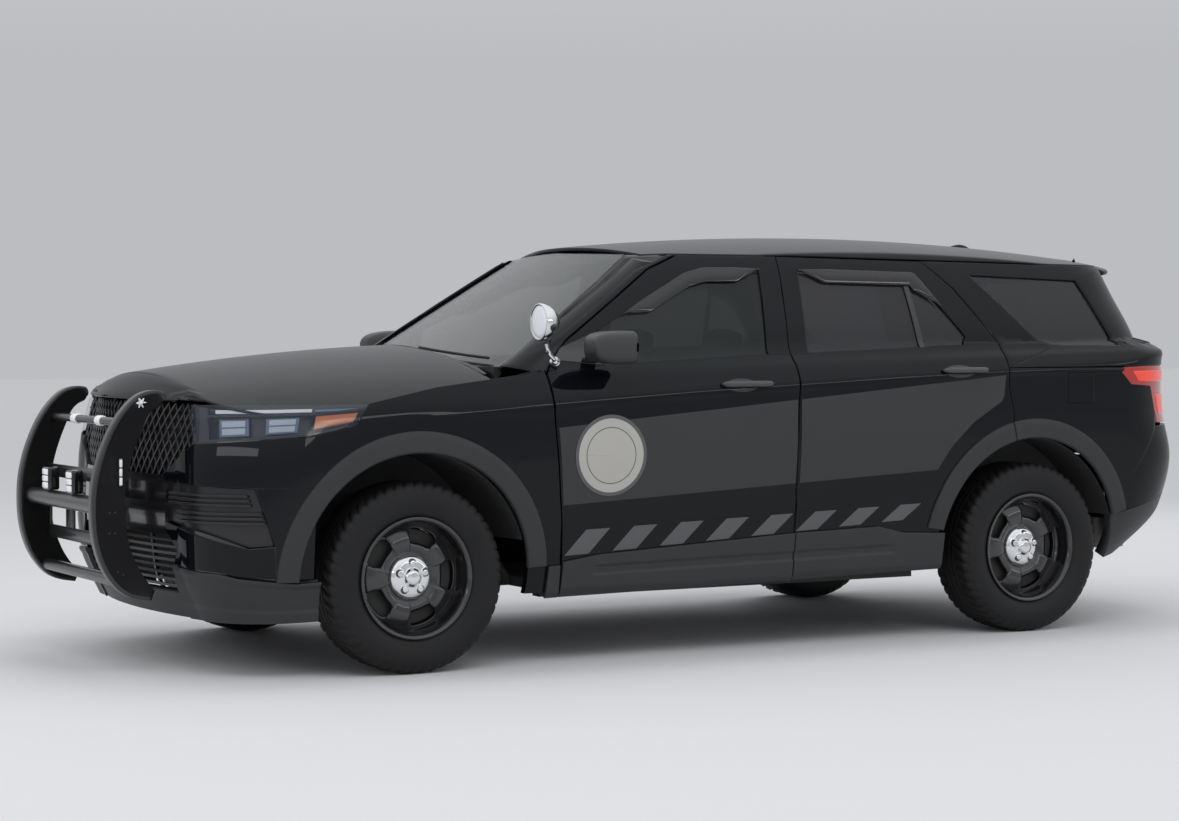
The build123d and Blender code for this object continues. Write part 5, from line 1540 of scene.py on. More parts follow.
@dataclass
class Decals:
    """Grey films of one side: the door band, the blank disc and the slanted stripes."""

    shop: Shop
    side: Side
    stripes: int = 8
    pitch: float = 222.0
    disc: tuple[float, float] = (-852.0, 838.0)

    def dress(self) -> None:
        """Lays the films on the doors."""
        front, rear = (f"{d}_door_{self.side.word}_body" for d in ("front", "rear"))
        self._film("band_front", [(-1752, 699), (-640, 641)], [(-1756, 1052), (-614, 954)],
                   BAND_GREY, front)
        self._film("band_rear", [(-2494, 737), (-1772, 700)], [(-2860, 1146), (-1775, 1053)],
                   BAND_GREY, rear,
                   [(-2494, 737), (-2560, 832), (-2680, 940), (-2848, 1037), (-2860, 1146)])
        for k in range(self.stripes):
            x = -655 - self.pitch * k
            low, high = 436 + 0.0524 * (-651 - x), 540 + 0.0323 * (-651 - x)
            self._film(f"stripe_{k}", [(x - 112, low + 5), (x, low)],
                       [(x - 205, high + 3), (x - 95, high)], STRIPE_GREY,
                       front if x - 205 > -1757 else rear)
        for name, inner, outer, finish, lift in (("disc_rim", 150, 165, STRIPE_GREY, 4.2),
                                                 ("disc_face", 0.5, 151, DISC_GREY, 4.0),
                                                 ("disc_ring", 112, 115, STRIPE_GREY, 4.8)):
            turn = np.linspace(0, 2 * np.pi, 97)[:, None]
            r = np.linspace(inner, outer, 6 if inner > 1 else 24)[None]
            flat = np.stack([r * np.cos(turn), r * np.sin(turn)], -1) + self.disc
            self.shop.skin(name, on_side(flat), self.side, finish, front, turn=0.3, edge=0.1, lift=lift)

    def _film(self, name: str, bottom: Points, top: Points, finish: Finish, body: str,
              left: Points = ()) -> None:
        """One thin film just over the paint."""
        grid = on_side(coons(bottom, top, 40, 20, left=left))
        self.shop.skin(name, grid, self.side, finish, body, turn=0.4, edge=0.1, lift=SKIN_LIFT + 0.8)


@dataclass
class Nose:
    """Painted cheeks, fog pocket fins and the dark front valance."""

    shop: Shop
    wrap: Wrap = field(default_factory=lambda: Wrap(BODY, 60, 1))

    def dress(self) -> None:
        """Makes the nose's pieces on both sides and the valance's middle."""
        for side in Side:
            self._cheeks(side)
            self._fins(side)
            self._valance(side)
        edge = [(500, 219), (500, 318)]
        flat = coons([(-500, 219), (500, 219)], [(-500, 328), (500, 328)], 50, 12, edge,
                     mirrored(edge))
        x = BODY.end_at(flat[..., 0], flat[..., 1], 1)
        self.shop.skin("front_valance_middle", xyz(x, flat[..., 0], flat[..., 1]), None, CLADDING,
                       away=(1, 0, 0), turn=30, closed=True, replaced=["bumper_valances"])

    def _cheeks(self, side: Side) -> None:
        """Three painted patches round the fog pocket."""
        patches = (
            ("cheek_high", [("s", 404, 742), ("s", 652, 744), ("e", 480, 757), ("e", 455, 780)],
             [("s", 262, 977), ("s", 446, 938), ("e", 664, 905)], [], []),
            ("cheek_back", [("s", 430, 392), ("s", 575, 392)], [("s", 404, 741), ("s", 652, 743)],
             [("s", 575, 392), ("s", 583, 520), ("s", 652, 743)],
             [("s", 430, 392), ("s", 430, 700), ("s", 404, 741)]),
            ("cheek_low", [("s", 577, 396), ("s", 700, 404), ("e", 800, 418), ("e", 528, 434)],
             [("s", 585, 516), ("s", 674, 508), ("e", 700, 560), ("e", 480, 600)],
             [("e", 528, 434), ("e", 558, 500), ("e", 500, 550), ("e", 480, 600)], []))
        for name, bottom, top, right, left in patches:
            grid = self.wrap.panel(bottom, top, 56, 24, right, left)
            self.shop.skin(name, grid, side, GLOSS_BLACK, away=(0.6, 0.8, 0), turn=8)

    def _fins(self, side: Side) -> None:
        """Level fins in the fog pocket, in an upper and a lower group."""
        for k, z in enumerate((708, 690, 672, 640, 622, 604)):
            outer = (664 if k > 2 else 690) - 0.30 * (745 - z)
            inner = 500 if k < 3 else 560
            grid = self.wrap.panel([("s", outer, z), ("e", inner, z)],
                                   [("s", outer + 4, z + 9), ("e", inner, z + 9)], 40, 4)
            self.shop.skin(f"fog_fin_{k}", grid, side, GRILLE_BLACK, away=(0.6, 0.8, 0), turn=14,
                           lift=-2.0, closed=True)

    def _valance(self, side: Side) -> None:
        """Dark corner of the valance, with a rounded shelf along its seam."""
        grid = self.wrap.panel(
            [("s", 400, 226), ("s", 600, 221), ("e", 800, 220), ("e", 500, 219)],
            [("s", 400, 380), ("s", 500, 376), ("s", 700, 398), ("e", 800, 412), ("e", 526, 426)],
            60, 30, [("e", 500, 219), ("e", 500, 334), ("e", 526, 426)])
        out = grid_normals(grid)
        out *= np.sign(np.sum(out * [0.6, 0.8, 0], -1, keepdims=True))
        share = np.linspace(0, 1, 30)[None, :, None]
        grid = grid + out * (9 * np.exp(-((share - 0.96) / 0.07) ** 2)
                             + 7 * np.clip((0.30 - share) / 0.05, 0, 1))
        self.shop.skin("front_valance", grid, side, CLADDING, away=(0.6, 0.8, 0), turn=34, closed=True)


@dataclass
class Grilles:
    """Diamond mesh, lower slats, radiator core and the fog pockets' dark backs."""

    shop: Shop
    upper: tuple = ((-600, 1060), (600, 1060), (664, 905), (455, 780), (-455, 780), (-664, 905))
    lower: tuple = ((-500, 548), (500, 548), (560, 500), (520, 330), (-520, 330), (-560, 500))
    lean: float = 36.0
    pitch: float = 50.0

    def dress(self) -> None:
        """Makes the mesh, the slats, the posts and the pocket backs."""
        turn = math.radians(self.lean)
        for name, way in (("rising", 1), ("falling", -1)):
            starts = [(y, 920.0) for y in np.arange(-900, 901, self.pitch)]
            self._bars(f"mesh_{name}", starts, (math.sin(turn) * way, math.cos(turn)), self.upper,
                       8.0, 15.0 if way > 0 else 16.0, ["grilles"] if way > 0 else [])
        levels = [(0.0, z) for z in np.arange(344, 545, 26.0)]
        self._bars("slats", levels, (1.0, 0.0), self.lower, 11.0, 16.0, [])
        self._bars("slat_posts", [(y, 440.0) for y in (-330, 0, 330)], (0.0, 1.0), self.lower, 16.0,
                   19.0, [])
        core = rounded_box(1060, 690, 20) + [0, 685]
        self.shop.solid("radiator_core", slab(core, 676, 690, 0, 3), UNDERBODY)
        for side in Side:
            grid = Wrap(BODY, 60, 1).panel(
                [("s", 587, 520), ("s", 674, 514), ("e", 700, 566), ("e", 484, 602)],
                [("s", 652, 740), ("e", 484, 755)], 50, 20)
            self.shop.skin("fog_back", grid, side, GRILLE_BLACK, away=(0.6, 0.8, 0), turn=10,
                           lift=-20.0, closed=True)

    def _bars(self, name: str, starts: Points, way: tuple[float, float], outline: tuple,
              wide: float, deep: float, replaced: Sequence[str]) -> None:
        """Bars of four corners that follow the nose between an outline's edges.

        Args:
            name: name of the piece.
            starts: a point on each bar's line in the front view.
            way: the bars' direction there.
            outline: convex outline, clockwise from its upper left.
            wide: width in the front view.
            deep: depth of the bars' faces under the body's skin.
            replaced: nodes that the piece stands for.
        """
        p, w = np.array(starts, float), np.array(way, float)
        corners = np.array(outline, float)
        edge = np.roll(corners, -1, 0) - corners
        inward = np.stack([edge[:, 1], -edge[:, 0]], -1)
        gap = np.sum((p[:, None] - corners[None]) * inward[None], -1)
        rate = np.broadcast_to(inward @ w, gap.shape)
        with np.errstate(divide="ignore", invalid="ignore"):
            cut = -gap / rate
        low = np.where(rate > 1e-9, cut, -1e6).max(1)
        high = np.where(rate < -1e-9, cut, 1e6).min(1)
        good = (high - low > 14) & np.all((np.abs(rate) > 1e-9) | (gap > 0), axis=1)
        p, low, high = p[good], low[good], high[good]
        n = 24
        t = low[:, None] + np.linspace(0, 1, n)[None] * (high - low)[:, None]
        line = p[:, None] + t[..., None] * w
        across = np.array([-w[1], w[0]]) * wide / 2
        rows = []
        for sign, depth in ((1, deep), (-1, deep), (-1, deep + 14), (1, deep + 14)):
            flat = line + sign * across
            x = BODY.end_at(np.abs(line[..., 0]), line[..., 1], 1) - depth
            rows.append(xyz(x, flat[..., 0], flat[..., 1]))
        points = np.stack(rows, 1)
        one = grid_faces(4, n, closed_u=True)
        ends = np.array([[0, n, 2 * n, 3 * n], [4 * n - 1, 3 * n - 1, 2 * n - 1, n - 1]])
        one = np.concatenate([one, ends])
        faces = (one[None] + 4 * n * np.arange(len(p))[:, None, None]).reshape(-1, 4)
        piece = make_mesh(name, in_frame(points), faces, GRILLE_BLACK, smooth=False)
        self.shop.weld(piece, 0.000001)
        self.shop.keep(piece, "body", "cladding", replaced)


@dataclass
class Headlamp:
    """One headlamp: dark housing, two lens blocks, light bar, amber corner and clear cover."""

    shop: Shop
    side: Side
    wrap: Wrap = field(default_factory=lambda: Wrap(BODY, 60, 1))

    def dress(self) -> None:
        """Makes the lamp's pieces from shares of its outline."""
        self.grid = self.wrap.panel(
            [("s", 262, 979), ("s", 446, 940), ("e", 662, 907)],
            [("s", 207, 1059), ("s", 500, 1060), ("e", 604, 1056)], 121, 41)
        self._piece("lamp_cover", (0, 1), (0, 1), 1.2, LENS, 5, ["headlamps"])
        self._piece("lamp_housing", (0.005, 0.995), (0.02, 0.98), -52, LAMP_GREY, 6)
        self._piece("lamp_trim", (0.90, 0.99), (0.04, 0.96), -16, GLOSS_PLASTIC, 18)
        self._piece("lamp_sill", (0.05, 0.92), (0.02, 0.10), -12, GLOSS_PLASTIC, 26)
        self._piece("lamp_brow", (0.04, 0.92), (0.70, 0.76), -14, GLOSS_PLASTIC, 26)
        self._piece("lamp_bar", (0.30, 0.84), (0.80, 0.90), -18, LAMP_AND_GLINT_WHITE, 12)
        self._piece("lamp_bar_tail", (0.05, 0.28), (0.80, 0.88), -20, LAMP_BLUE, 12)
        self._piece("lamp_amber", (0.03, 0.27), (0.22, 0.64), -14, AMBER, 14)
        for k, (a, b) in enumerate(((0.36, 0.54), (0.64, 0.82))):
            self._piece(f"lens_ring_{k}", (a, b), (0.16, 0.64), -22, LAMP_BLUE, 18)
            mid, half = (a + b) / 2, (b - a) / 2
            self._piece(f"lens_upper_{k}", (mid - 0.8 * half, mid + 0.8 * half), (0.42, 0.59), -19,
                        LAMP_EYE, 4)
            self._piece(f"lens_lower_{k}", (mid - 0.8 * half, mid + 0.8 * half), (0.21, 0.38), -19,
                        LAMP_EYE, 4)

    def _piece(self, name: str, u: tuple[float, float], v: tuple[float, float], lift: float,
               finish: Finish, turn: float, replaced: Sequence[str] = ()) -> None:
        """One sheet of the lamp between two shares of its length and height."""
        n, m = self.grid.shape[:2]
        rows = np.linspace(u[0] * (n - 1), u[1] * (n - 1), 26)
        cols = np.linspace(v[0] * (m - 1), v[1] * (m - 1), 8)
        r0, c0 = np.minimum(rows.astype(int), n - 2), np.minimum(cols.astype(int), m - 2)
        fr, fc = (rows - r0)[:, None, None], (cols - c0)[None, :, None]
        g = self.grid
        part = ((1 - fr) * (1 - fc) * g[np.ix_(r0, c0)] + fr * (1 - fc) * g[np.ix_(r0 + 1, c0)]
                + (1 - fr) * fc * g[np.ix_(r0, c0 + 1)] + fr * fc * g[np.ix_(r0 + 1, c0 + 1)])
        slot = "lamp_clear" if finish is GLOSS_PLASTIC else finish.slot
        self.shop.skin(name, part, self.side, finish, slot=slot, away=(0.6, 0.8, 0), turn=turn,
                       lift=lift, closed=True, replaced=replaced if self.side is Side.LEFT else ())


@dataclass
class PushBumper:
    """Two D-shaped uprights, three tubes, a slotted plate and the lamps between them."""

    shop: Shop
    outer: Points = ((856, 1086), (862, 1110), (925, 1112), (985, 1086), (1060, 1000),
                     (1116, 880), (1148, 760), (1156, 660), (1150, 540), (1118, 430), (1060, 345),
                     (1000, 304), (920, 292))
    inner: Points = ((858, 1078), (868, 1050), (900, 1040), (930, 1010), (950, 960),
                     (980, 890), (1008, 800), (1024, 700), (1020, 600), (1008, 520), (978, 440),
                     (950, 390), (902, 330))
    tubes: tuple = ((1004, 985, 16), (1100, 662, 34), (1040, 372, 24))
    half: float = 433.0
    knob: tuple[float, float] = (955.0, 1062.0)
    strip: tuple[float, float] = (1040.0, 795.0)
    lamp_y: float = 150.0
    lamp_z: float = 744.0

    def dress(self) -> None:
        """Makes every piece of the push bumper."""
        outer, inner = (resample(chaikin(p, 3), 90) for p in (self.outer, self.inner))
        for side in Side:
            self._upright(outer, inner, side)
        for k, (x, z, r) in enumerate(self.tubes):
            path = [(x, y, z) for y in np.linspace(-self.half, self.half, 24)]
            self.shop.solid(f"push_tube_{k}", tube(path, r, 28), PUSH_BLACK,
                            replaced=["push_bumper"] if k == 0 else [])
        x, z, _ = self.tubes[0]
        for side in Side:
            y = side.value * self.lamp_y
            path = [(x, y + d, z) for d in (-30, -29, -20, 20, 29, 30)]
            # The collars are chrome by their slot but take the glowing white finish: a painted highlight
            # on them.
            self.shop.solid(f"tube_pod_{side.word}", tube(path, [15, 20, 21, 21, 20, 15], 24),
                            LAMP_AND_GLINT_WHITE, slot="chrome")
        self._plate()
        self._lamps()

    def _upright(self, outer: Grid, inner: Grid, side: Side) -> None:
        """A plate swept along the D, with a rolled lip, knob, lamp strip and bolt heads."""
        low, high, soft = UPRIGHT_LOW, UPRIGHT_HIGH, 3.0
        way = (inner - outer) / np.linalg.norm(inner - outer, axis=1, keepdims=True)
        rows = []
        for base, step, y in ((outer, 0, low + soft), (outer, 0, high - soft), (outer, soft, high),
                              (outer, 16, high), (outer, 19, high - 5), (inner, -soft, high - 5),
                              (inner, 0, high - 5 - soft), (inner, 0, low + 5 + soft),
                              (inner, -soft, low + 5), (outer, 19, low + 5), (outer, 16, low),
                              (outer, soft, low)):
            flat = base + way * step
            rows.append(xyz(flat[:, 0], y * side.value, flat[:, 1]))
        self.shop.solid(f"push_upright_{side.word}", np.stack(rows), PUSH_BLACK)
        face = side.value * (high - 5)
        for k, (x, z) in enumerate(((1085, 640), (1062, 640), (1085, 560), (1062, 560),
                                    (1052, 410), (1030, 398))):
            self._button(f"upright_bolt_{k}_{side.word}", (x, face, z), 4.0, 3, side, GLOSS_PLASTIC)
        self._button(f"upright_knob_hub_{side.word}", (self.knob[0], face, self.knob[1]), 9.0,
                     10, side, CHROME)
        turn = full_turn(96)[:, 0]
        r = 17 + 5 * np.cos(6 * turn)
        star = np.stack([r * np.cos(turn), r * np.sin(turn)], -1) + self.knob
        span = sorted((face, face + side.value * 6))
        self.shop.solid(f"upright_knob_{side.word}", slab(star, *span, 1, 1.5), CHROME)
        strip = rounded_box(18, 112, 6) + self.strip
        self.shop.solid(f"upright_strip_{side.word}", slab(strip, *span, 1, 1.5), GLOSS_PLASTIC)
        for k in range(3):
            cell = rounded_box(12, 30, 3) + self.strip + [0, 35 * (k - 1)]
            span = sorted((face + side.value * 4, face + side.value * 8))
            self.shop.solid(f"strip_cell_{k}_{side.word}", slab(cell, *span, 1, 1), LAMP_AND_GLINT_WHITE)

    def _button(self, name: str, place: tuple, radius: float, height: float, side: Side,
                finish: Finish) -> None:
        """A small round head on an upright's outer face."""
        x, y, z = place
        path = [(x, y + side.value * h * height, z) for h in (0, 0.6, 0.9, 1.0)]
        self.shop.solid(name, tube(path, [radius, radius, radius * 0.8, radius * 0.5], 20), finish,
                        slot="push_black")

    def _plate(self) -> None:
        """The slotted plate as level and upright bars."""
        level = [(-self.half, self.half, low, high) for low, high in
                 ((740, 792), (620, 660), (488, 540))]
        upright = [(a, b, 490, 790) for a, b in
                   ((-self.half, -400), (-200, -100), (100, 200), (400, self.half))]
        for kind, bars, back, front in (("bar", level, 1026, 1036), ("post", upright, 1027, 1035)):
            for k, (a, b, low, high) in enumerate(bars):
                flat = rounded_box(b - a, high - low, 6) + [(a + b) / 2, (low + high) / 2]
                self.shop.solid(f"plate_{kind}_{k}", slab(flat, back, front, 0, 1.5), PUSH_BLACK)

    def _lamps(self) -> None:
        """Two lamps on the middle tube: a dark box with three pale cells."""
        for side in Side:
            y = side.value * self.lamp_y
            flat = rounded_box(80, 92, 10) + [y, self.lamp_z]
            self.shop.solid(f"push_lamp_box_{side.word}", slab(flat, 1090, 1136, 0, 4), GLOSS_PLASTIC,
                            replaced=["push_bumper_lamps"] if side is Side.LEFT else [])
            for k in range(3):
                flat = rounded_box(66, 23, 6) + [y, self.lamp_z + 27 * (k - 1)]
                self.shop.solid(f"push_lamp_cell_{k}_{side.word}", slab(flat, 1128, 1140, 0, 3),
                                LAMP_AND_GLINT_WHITE)


@dataclass
class SmallTrim:
    """Mirrors, handles, rain guards, window dividers, spot lamp, wipers and roof fin."""

    shop: Shop
    spot: tuple[float, float, float] = (-572.0, 948.0, 1377.0)

    def dress(self) -> None:
        """Makes the small trim of both sides."""
        for side in Side:
            self._mirror(side)
            for door, start, stop, z in (("front", -1376, -1628, 1121), ("rear", -2510, -2755, 1170)):
                self._handle(door, start, stop, z, side)
            self._deflectors(side)
            self._divider(side)
            self._wiper(side)
        self._spot_lamp()
        self._fin()

    def _mirror(self, side: Side) -> None:
        """A mirror head: rounded sections that swell quickly behind its nose, and its arm."""
        x = np.array([-703, -706, -712, -724, -745, -775, -815, -860, -890, -900, -899, -890.0])
        share = np.array([0.10, 0.36, 0.52, 0.68, 0.82, 0.92, 0.98, 1.0, 1.0, 0.975, 0.93, 0.92])
        rows = []
        for at, size in zip(x, share):
            wide, tall = 179 * (0.25 + 0.75 * size), 134 * size
            flat = rounded_box(wide, tall, 0.36 * tall) + [1134 - wide / 2, 1279 - 4 * size]
            rows.append(xyz(at, side.value * flat[:, 0], flat[:, 1]))
        word, body = side.word, f"front_door_{side.word}_body"
        self.shop.solid(f"mirror_shell_{word}", np.stack(rows, 1), MIRROR_SHELL, body,
                        replaced=[f"mirror_{word}"])
        flat = rounded_box(158, 112, 34) + [1046, 1275]
        flat[:, 0] *= side.value
        self.shop.solid(f"mirror_glass_{word}", slab(flat, -898, -889, 0, 2), CHROME, body)
        path = [(-800, side.value * y, z) for y, z in ((905, 1226), (925, 1230), (950, 1238),
                                                       (985, 1248))]
        self.shop.solid(f"mirror_arm_{word}", tube(resample(path, 16), 34, 24, 0.42), MIRROR_SHELL,
                        body)
        grid = on_side(coons([(-845, 1203), (-640, 1222)], [(-845, 1330), (-690, 1270)], 24, 16))
        self.shop.skin("mirror_sail", grid, side, GLOSS_PLASTIC, body, slot="body_paint", turn=8,
                       lift=4.0, closed=True)

    def _handle(self, door: str, start: float, stop: float, z: float, side: Side) -> None:
        """A bowed grip over a shallow shield; its bow is reach x (1 - t^8)."""
        t = np.linspace(-1, 1, 40)
        x = start + (t + 1) / 2 * (stop - start)
        level = z + 0 * x
        y = side_skin(x, level) + 4 + 25 * (1 - t**8)
        path = xyz(x, side.value * y, level)
        radius = 14 * np.clip(1 - t**14, 0.25, 1)
        body = f"{door}_door_{side.word}_body"
        self.shop.solid(f"{door}_handle_{side.word}", tube(path, radius, 22, 1.0), HANDLE_SATIN, body)
        middle = (start + stop) / 2 + 25
        turn = np.linspace(0, 2 * np.pi, 60)[:, None]
        r = np.linspace(0.02, 1, 10)[None]
        flat = np.stack([middle + 80 * r * np.cos(turn), z - 6 + 27 * r * np.sin(turn)], -1)
        self.shop.skin(f"{door}_handle_cup", on_side(flat), side, GLOSS_PLASTIC, body,
                       slot="body_paint", turn=0.4, edge=0.1, lift=SKIN_LIFT + 0.6)

    def _deflectors(self, side: Side) -> None:
        """Dark rain guards along the top of both door windows."""
        lines = {"front": [(-1000, 1412), (-1325, 1577), (-1420, 1602), (-1704, 1606)],
                 "rear": [(-1893, 1604), (-2485, 1592), (-2600, 1456)]}
        for door, line in lines.items():
            p = resample(line, 50)
            way = np.gradient(p, axis=0)
            way /= np.linalg.norm(way, axis=1, keepdims=True)
            down = np.stack([-way[:, 1], way[:, 0]], -1)
            drop = 52 * np.clip(np.minimum(np.arange(50), np.arange(50)[::-1]) / 8, 0.15, 1)[:, None]
            v = np.linspace(-0.12, 1, 10)[None, :, None]
            flat = p[:, None] + v * (down * drop)[:, None]
            grid = on_side(flat)
            grid[..., 1] += 16 - 10 * np.clip(v[..., 0], 0, 1) ** 2
            self.shop.skin(f"{door}_deflector", grid, side, SMOKED, f"{door}_door_{side.word}_body",
                           turn=3, lift=0.0, closed=True)

    def _divider(self, side: Side) -> None:
        """The upright bar in the rear door's window."""
        grid = on_side(coons([(-2481, 1267), (-2455, 1267)], [(-2453, 1592), (-2427, 1592)], 6, 30))
        self.shop.skin("window_divider", grid, side, GLOSS_PLASTIC, f"rear_door_{side.word}_body",
                       slot="body_paint", turn=6, lift=-1.0, closed=True)

    def _wiper(self, side: Side) -> None:
        """A wiper lying along the foot of the windscreen."""
        start, stop = ((640, 1222), (40, 1262)) if side is Side.LEFT else ((20, 1222), (-600, 1240))
        flat = resample([start, stop], 30)
        on = on_screen(flat)
        on[:, 0] += 9
        on[:, 2] += 9
        self.shop.solid(f"wiper_{side.word}", tube(on, 6, 12), SEAL_RUBBER)

    def _spot_lamp(self) -> None:
        """A chrome spot lamp: a turned bowl, its lens and a bent stem to the pillar."""
        x0, y0, z0 = self.spot
        turn = full_turn(64)
        bowl = ((-64, 1), (-63, 12), (-56, 24), (-44, 40), (-28, 56), (-8, 68), (12, 74), (24, 75),
                (28, 74), (29, 70), (25, 66), (22, 40), (21, 1))
        lens = ((22.5, 66), (26, 65), (28, 50), (29, 30), (29.5, 1))
        for name, profile, finish, replaced in (("spot_bowl", bowl, CHROME, ["spot_lamp"]),
                                                ("spot_lens", lens, LAMP_AND_GLINT_WHITE, [])):
            p = np.array(profile, float)
            grid = xyz(x0 + p[None, :, 0], y0 + p[None, :, 1] * np.cos(turn),
                       z0 + p[None, :, 1] * np.sin(turn))
            self.shop.solid(name, grid, finish, replaced=replaced)
        path = chaikin([(x0 - 10, y0, z0 - 66), (x0 - 8, y0, z0 - 100), (x0 - 20, y0 + 2, z0 - 130),
                        (x0 - 48, y0 - 6, z0 - 152), (x0 - 60, y0 - 30, z0 - 160)], 2)
        self.shop.solid("spot_stem", tube(resample(path, 24), 9, 18), CHROME)
        path = [(x0 - 12, y0, z0 - 88), (x0 - 12, y0, z0 - 62)]
        self.shop.solid("spot_yoke", tube(resample(path, 6), [13, 14, 14, 14, 14, 12], 18),
                        GLOSS_PLASTIC)
        path = [(x0 - 62, y0 - 30, z0 - 162), (x0 - 54, y0 - 8, z0 - 156)]
        self.shop.solid("spot_foot", tube(resample(path, 8), [22, 23, 22, 20, 17, 14, 12, 10], 22),
                        CHROME)

    def _fin(self) -> None:
        """A low swept fin at the roof's rear."""
        t = np.linspace(0, 1, 24)
        rows = []
        for k in t:
            x, tall = -3240 - 190 * k, 30 * math.sin(math.pi * k ** 1.6) ** 0.8 + 1
            base = float(roof_height(np.array([x]), np.array([0.0]))[0])
            turn = full_turn(24)[:, 0]
            rows.append(xyz(np.full(24, x), (6 + 0.5 * tall) * np.cos(turn),
                            base + 1 + np.maximum(np.sin(turn), -0.1) * tall))
        self.shop.solid("roof_fin", np.stack(rows, 1), GLOSS_BLACK)


@dataclass
class Cushion:
    """A stuffed block: its plan is a rounded box and its face bulges towards the middle."""

    name: str
    place: tuple[float, float, float]
    size: tuple[float, float, float]
    lean: float = 0.0
    power: float = 5.0

    def make(self, shop: Shop, replaced: Sequence[str]) -> None:
        """Makes the block: |x/a|^p + |y/b|^p + |z/c|^p = 1, with seams pressed in.

        Args:
            shop: keeps the piece.
            replaced: nodes that it stands for.
        """
        lat = np.linspace(-np.pi / 2, np.pi / 2, 40)[None]
        lon = full_turn(72)
        ray = xyz(np.cos(lat) * np.cos(lon), np.cos(lat) * np.sin(lon),
                  np.sin(lat) + 0 * lon)
        reach = np.sum(np.abs(ray) ** self.power, -1, keepdims=True) ** (-1 / self.power)
        unit = ray * reach
        seams = np.exp(-((np.abs(unit[..., 1:2]) - 0.55) / 0.04) ** 2)
        half = np.array(self.size) / 2
        grid = unit * half * (1 - 0.05 * seams)
        grid[..., 2] += 6 * np.sin(unit[..., 0] * 7) * np.clip(unit[..., 2], 0, 1)
        turn = math.radians(self.lean)
        x = grid[..., 0] * math.cos(turn) - grid[..., 2] * math.sin(turn)
        z = grid[..., 0] * math.sin(turn) + grid[..., 2] * math.cos(turn)
        moved = xyz(x, grid[..., 1], z) + np.array(self.place)
        piece = shop.solid(self.name, moved, CLOTH, replaced=replaced)


class Cabin:
    """Front seats with their bases and posts, and the rear bench."""

    def __init__(self, shop: Shop) -> None:
        """Keeps the shop."""
        self.shop = shop

    def dress(self) -> None:
        """Makes the front seats and the rear bench."""
        for side in Side:
            y, word = 380.0 * side.value, side.word
            Cushion(f"seat_cushion_{word}", (-1340, y, 585), (470, 500, 170), 3).make(
                self.shop, ["front_seats"] if side is Side.LEFT else [])
            Cushion(f"seat_back_{word}", (-1660, y, 915), (150, 480, 600), 12, 4).make(self.shop, [])
            Cushion(f"head_restraint_{word}", (-1762, y, 1268), (90, 240, 150), 10, 4).make(
                self.shop, [])
            path = [(-1755, y + d, 1150) for d in (-60, 60)]
            for k, at in enumerate(path):
                post = [at, (at[0] - 6, at[1], 1235)]
                self.shop.solid(f"restraint_post_{k}_{word}", tube(resample(post, 6), 7, 12), CHROME)
            base = rounded_box(400, 380, 20) + [-1350, y]
            self.shop.solid(f"seat_base_{word}", slab(base, 340, 515, 2, 4), INTERIOR)
        Cushion("bench_cushion", (-2345, 0, 520), (450, 1240, 300), 2, 6).make(
            self.shop, ["rear_bench"])
        Cushion("bench_back", (-2665, 0, 900), (150, 1240, 640), 14, 5).make(self.shop, [])


# Stage


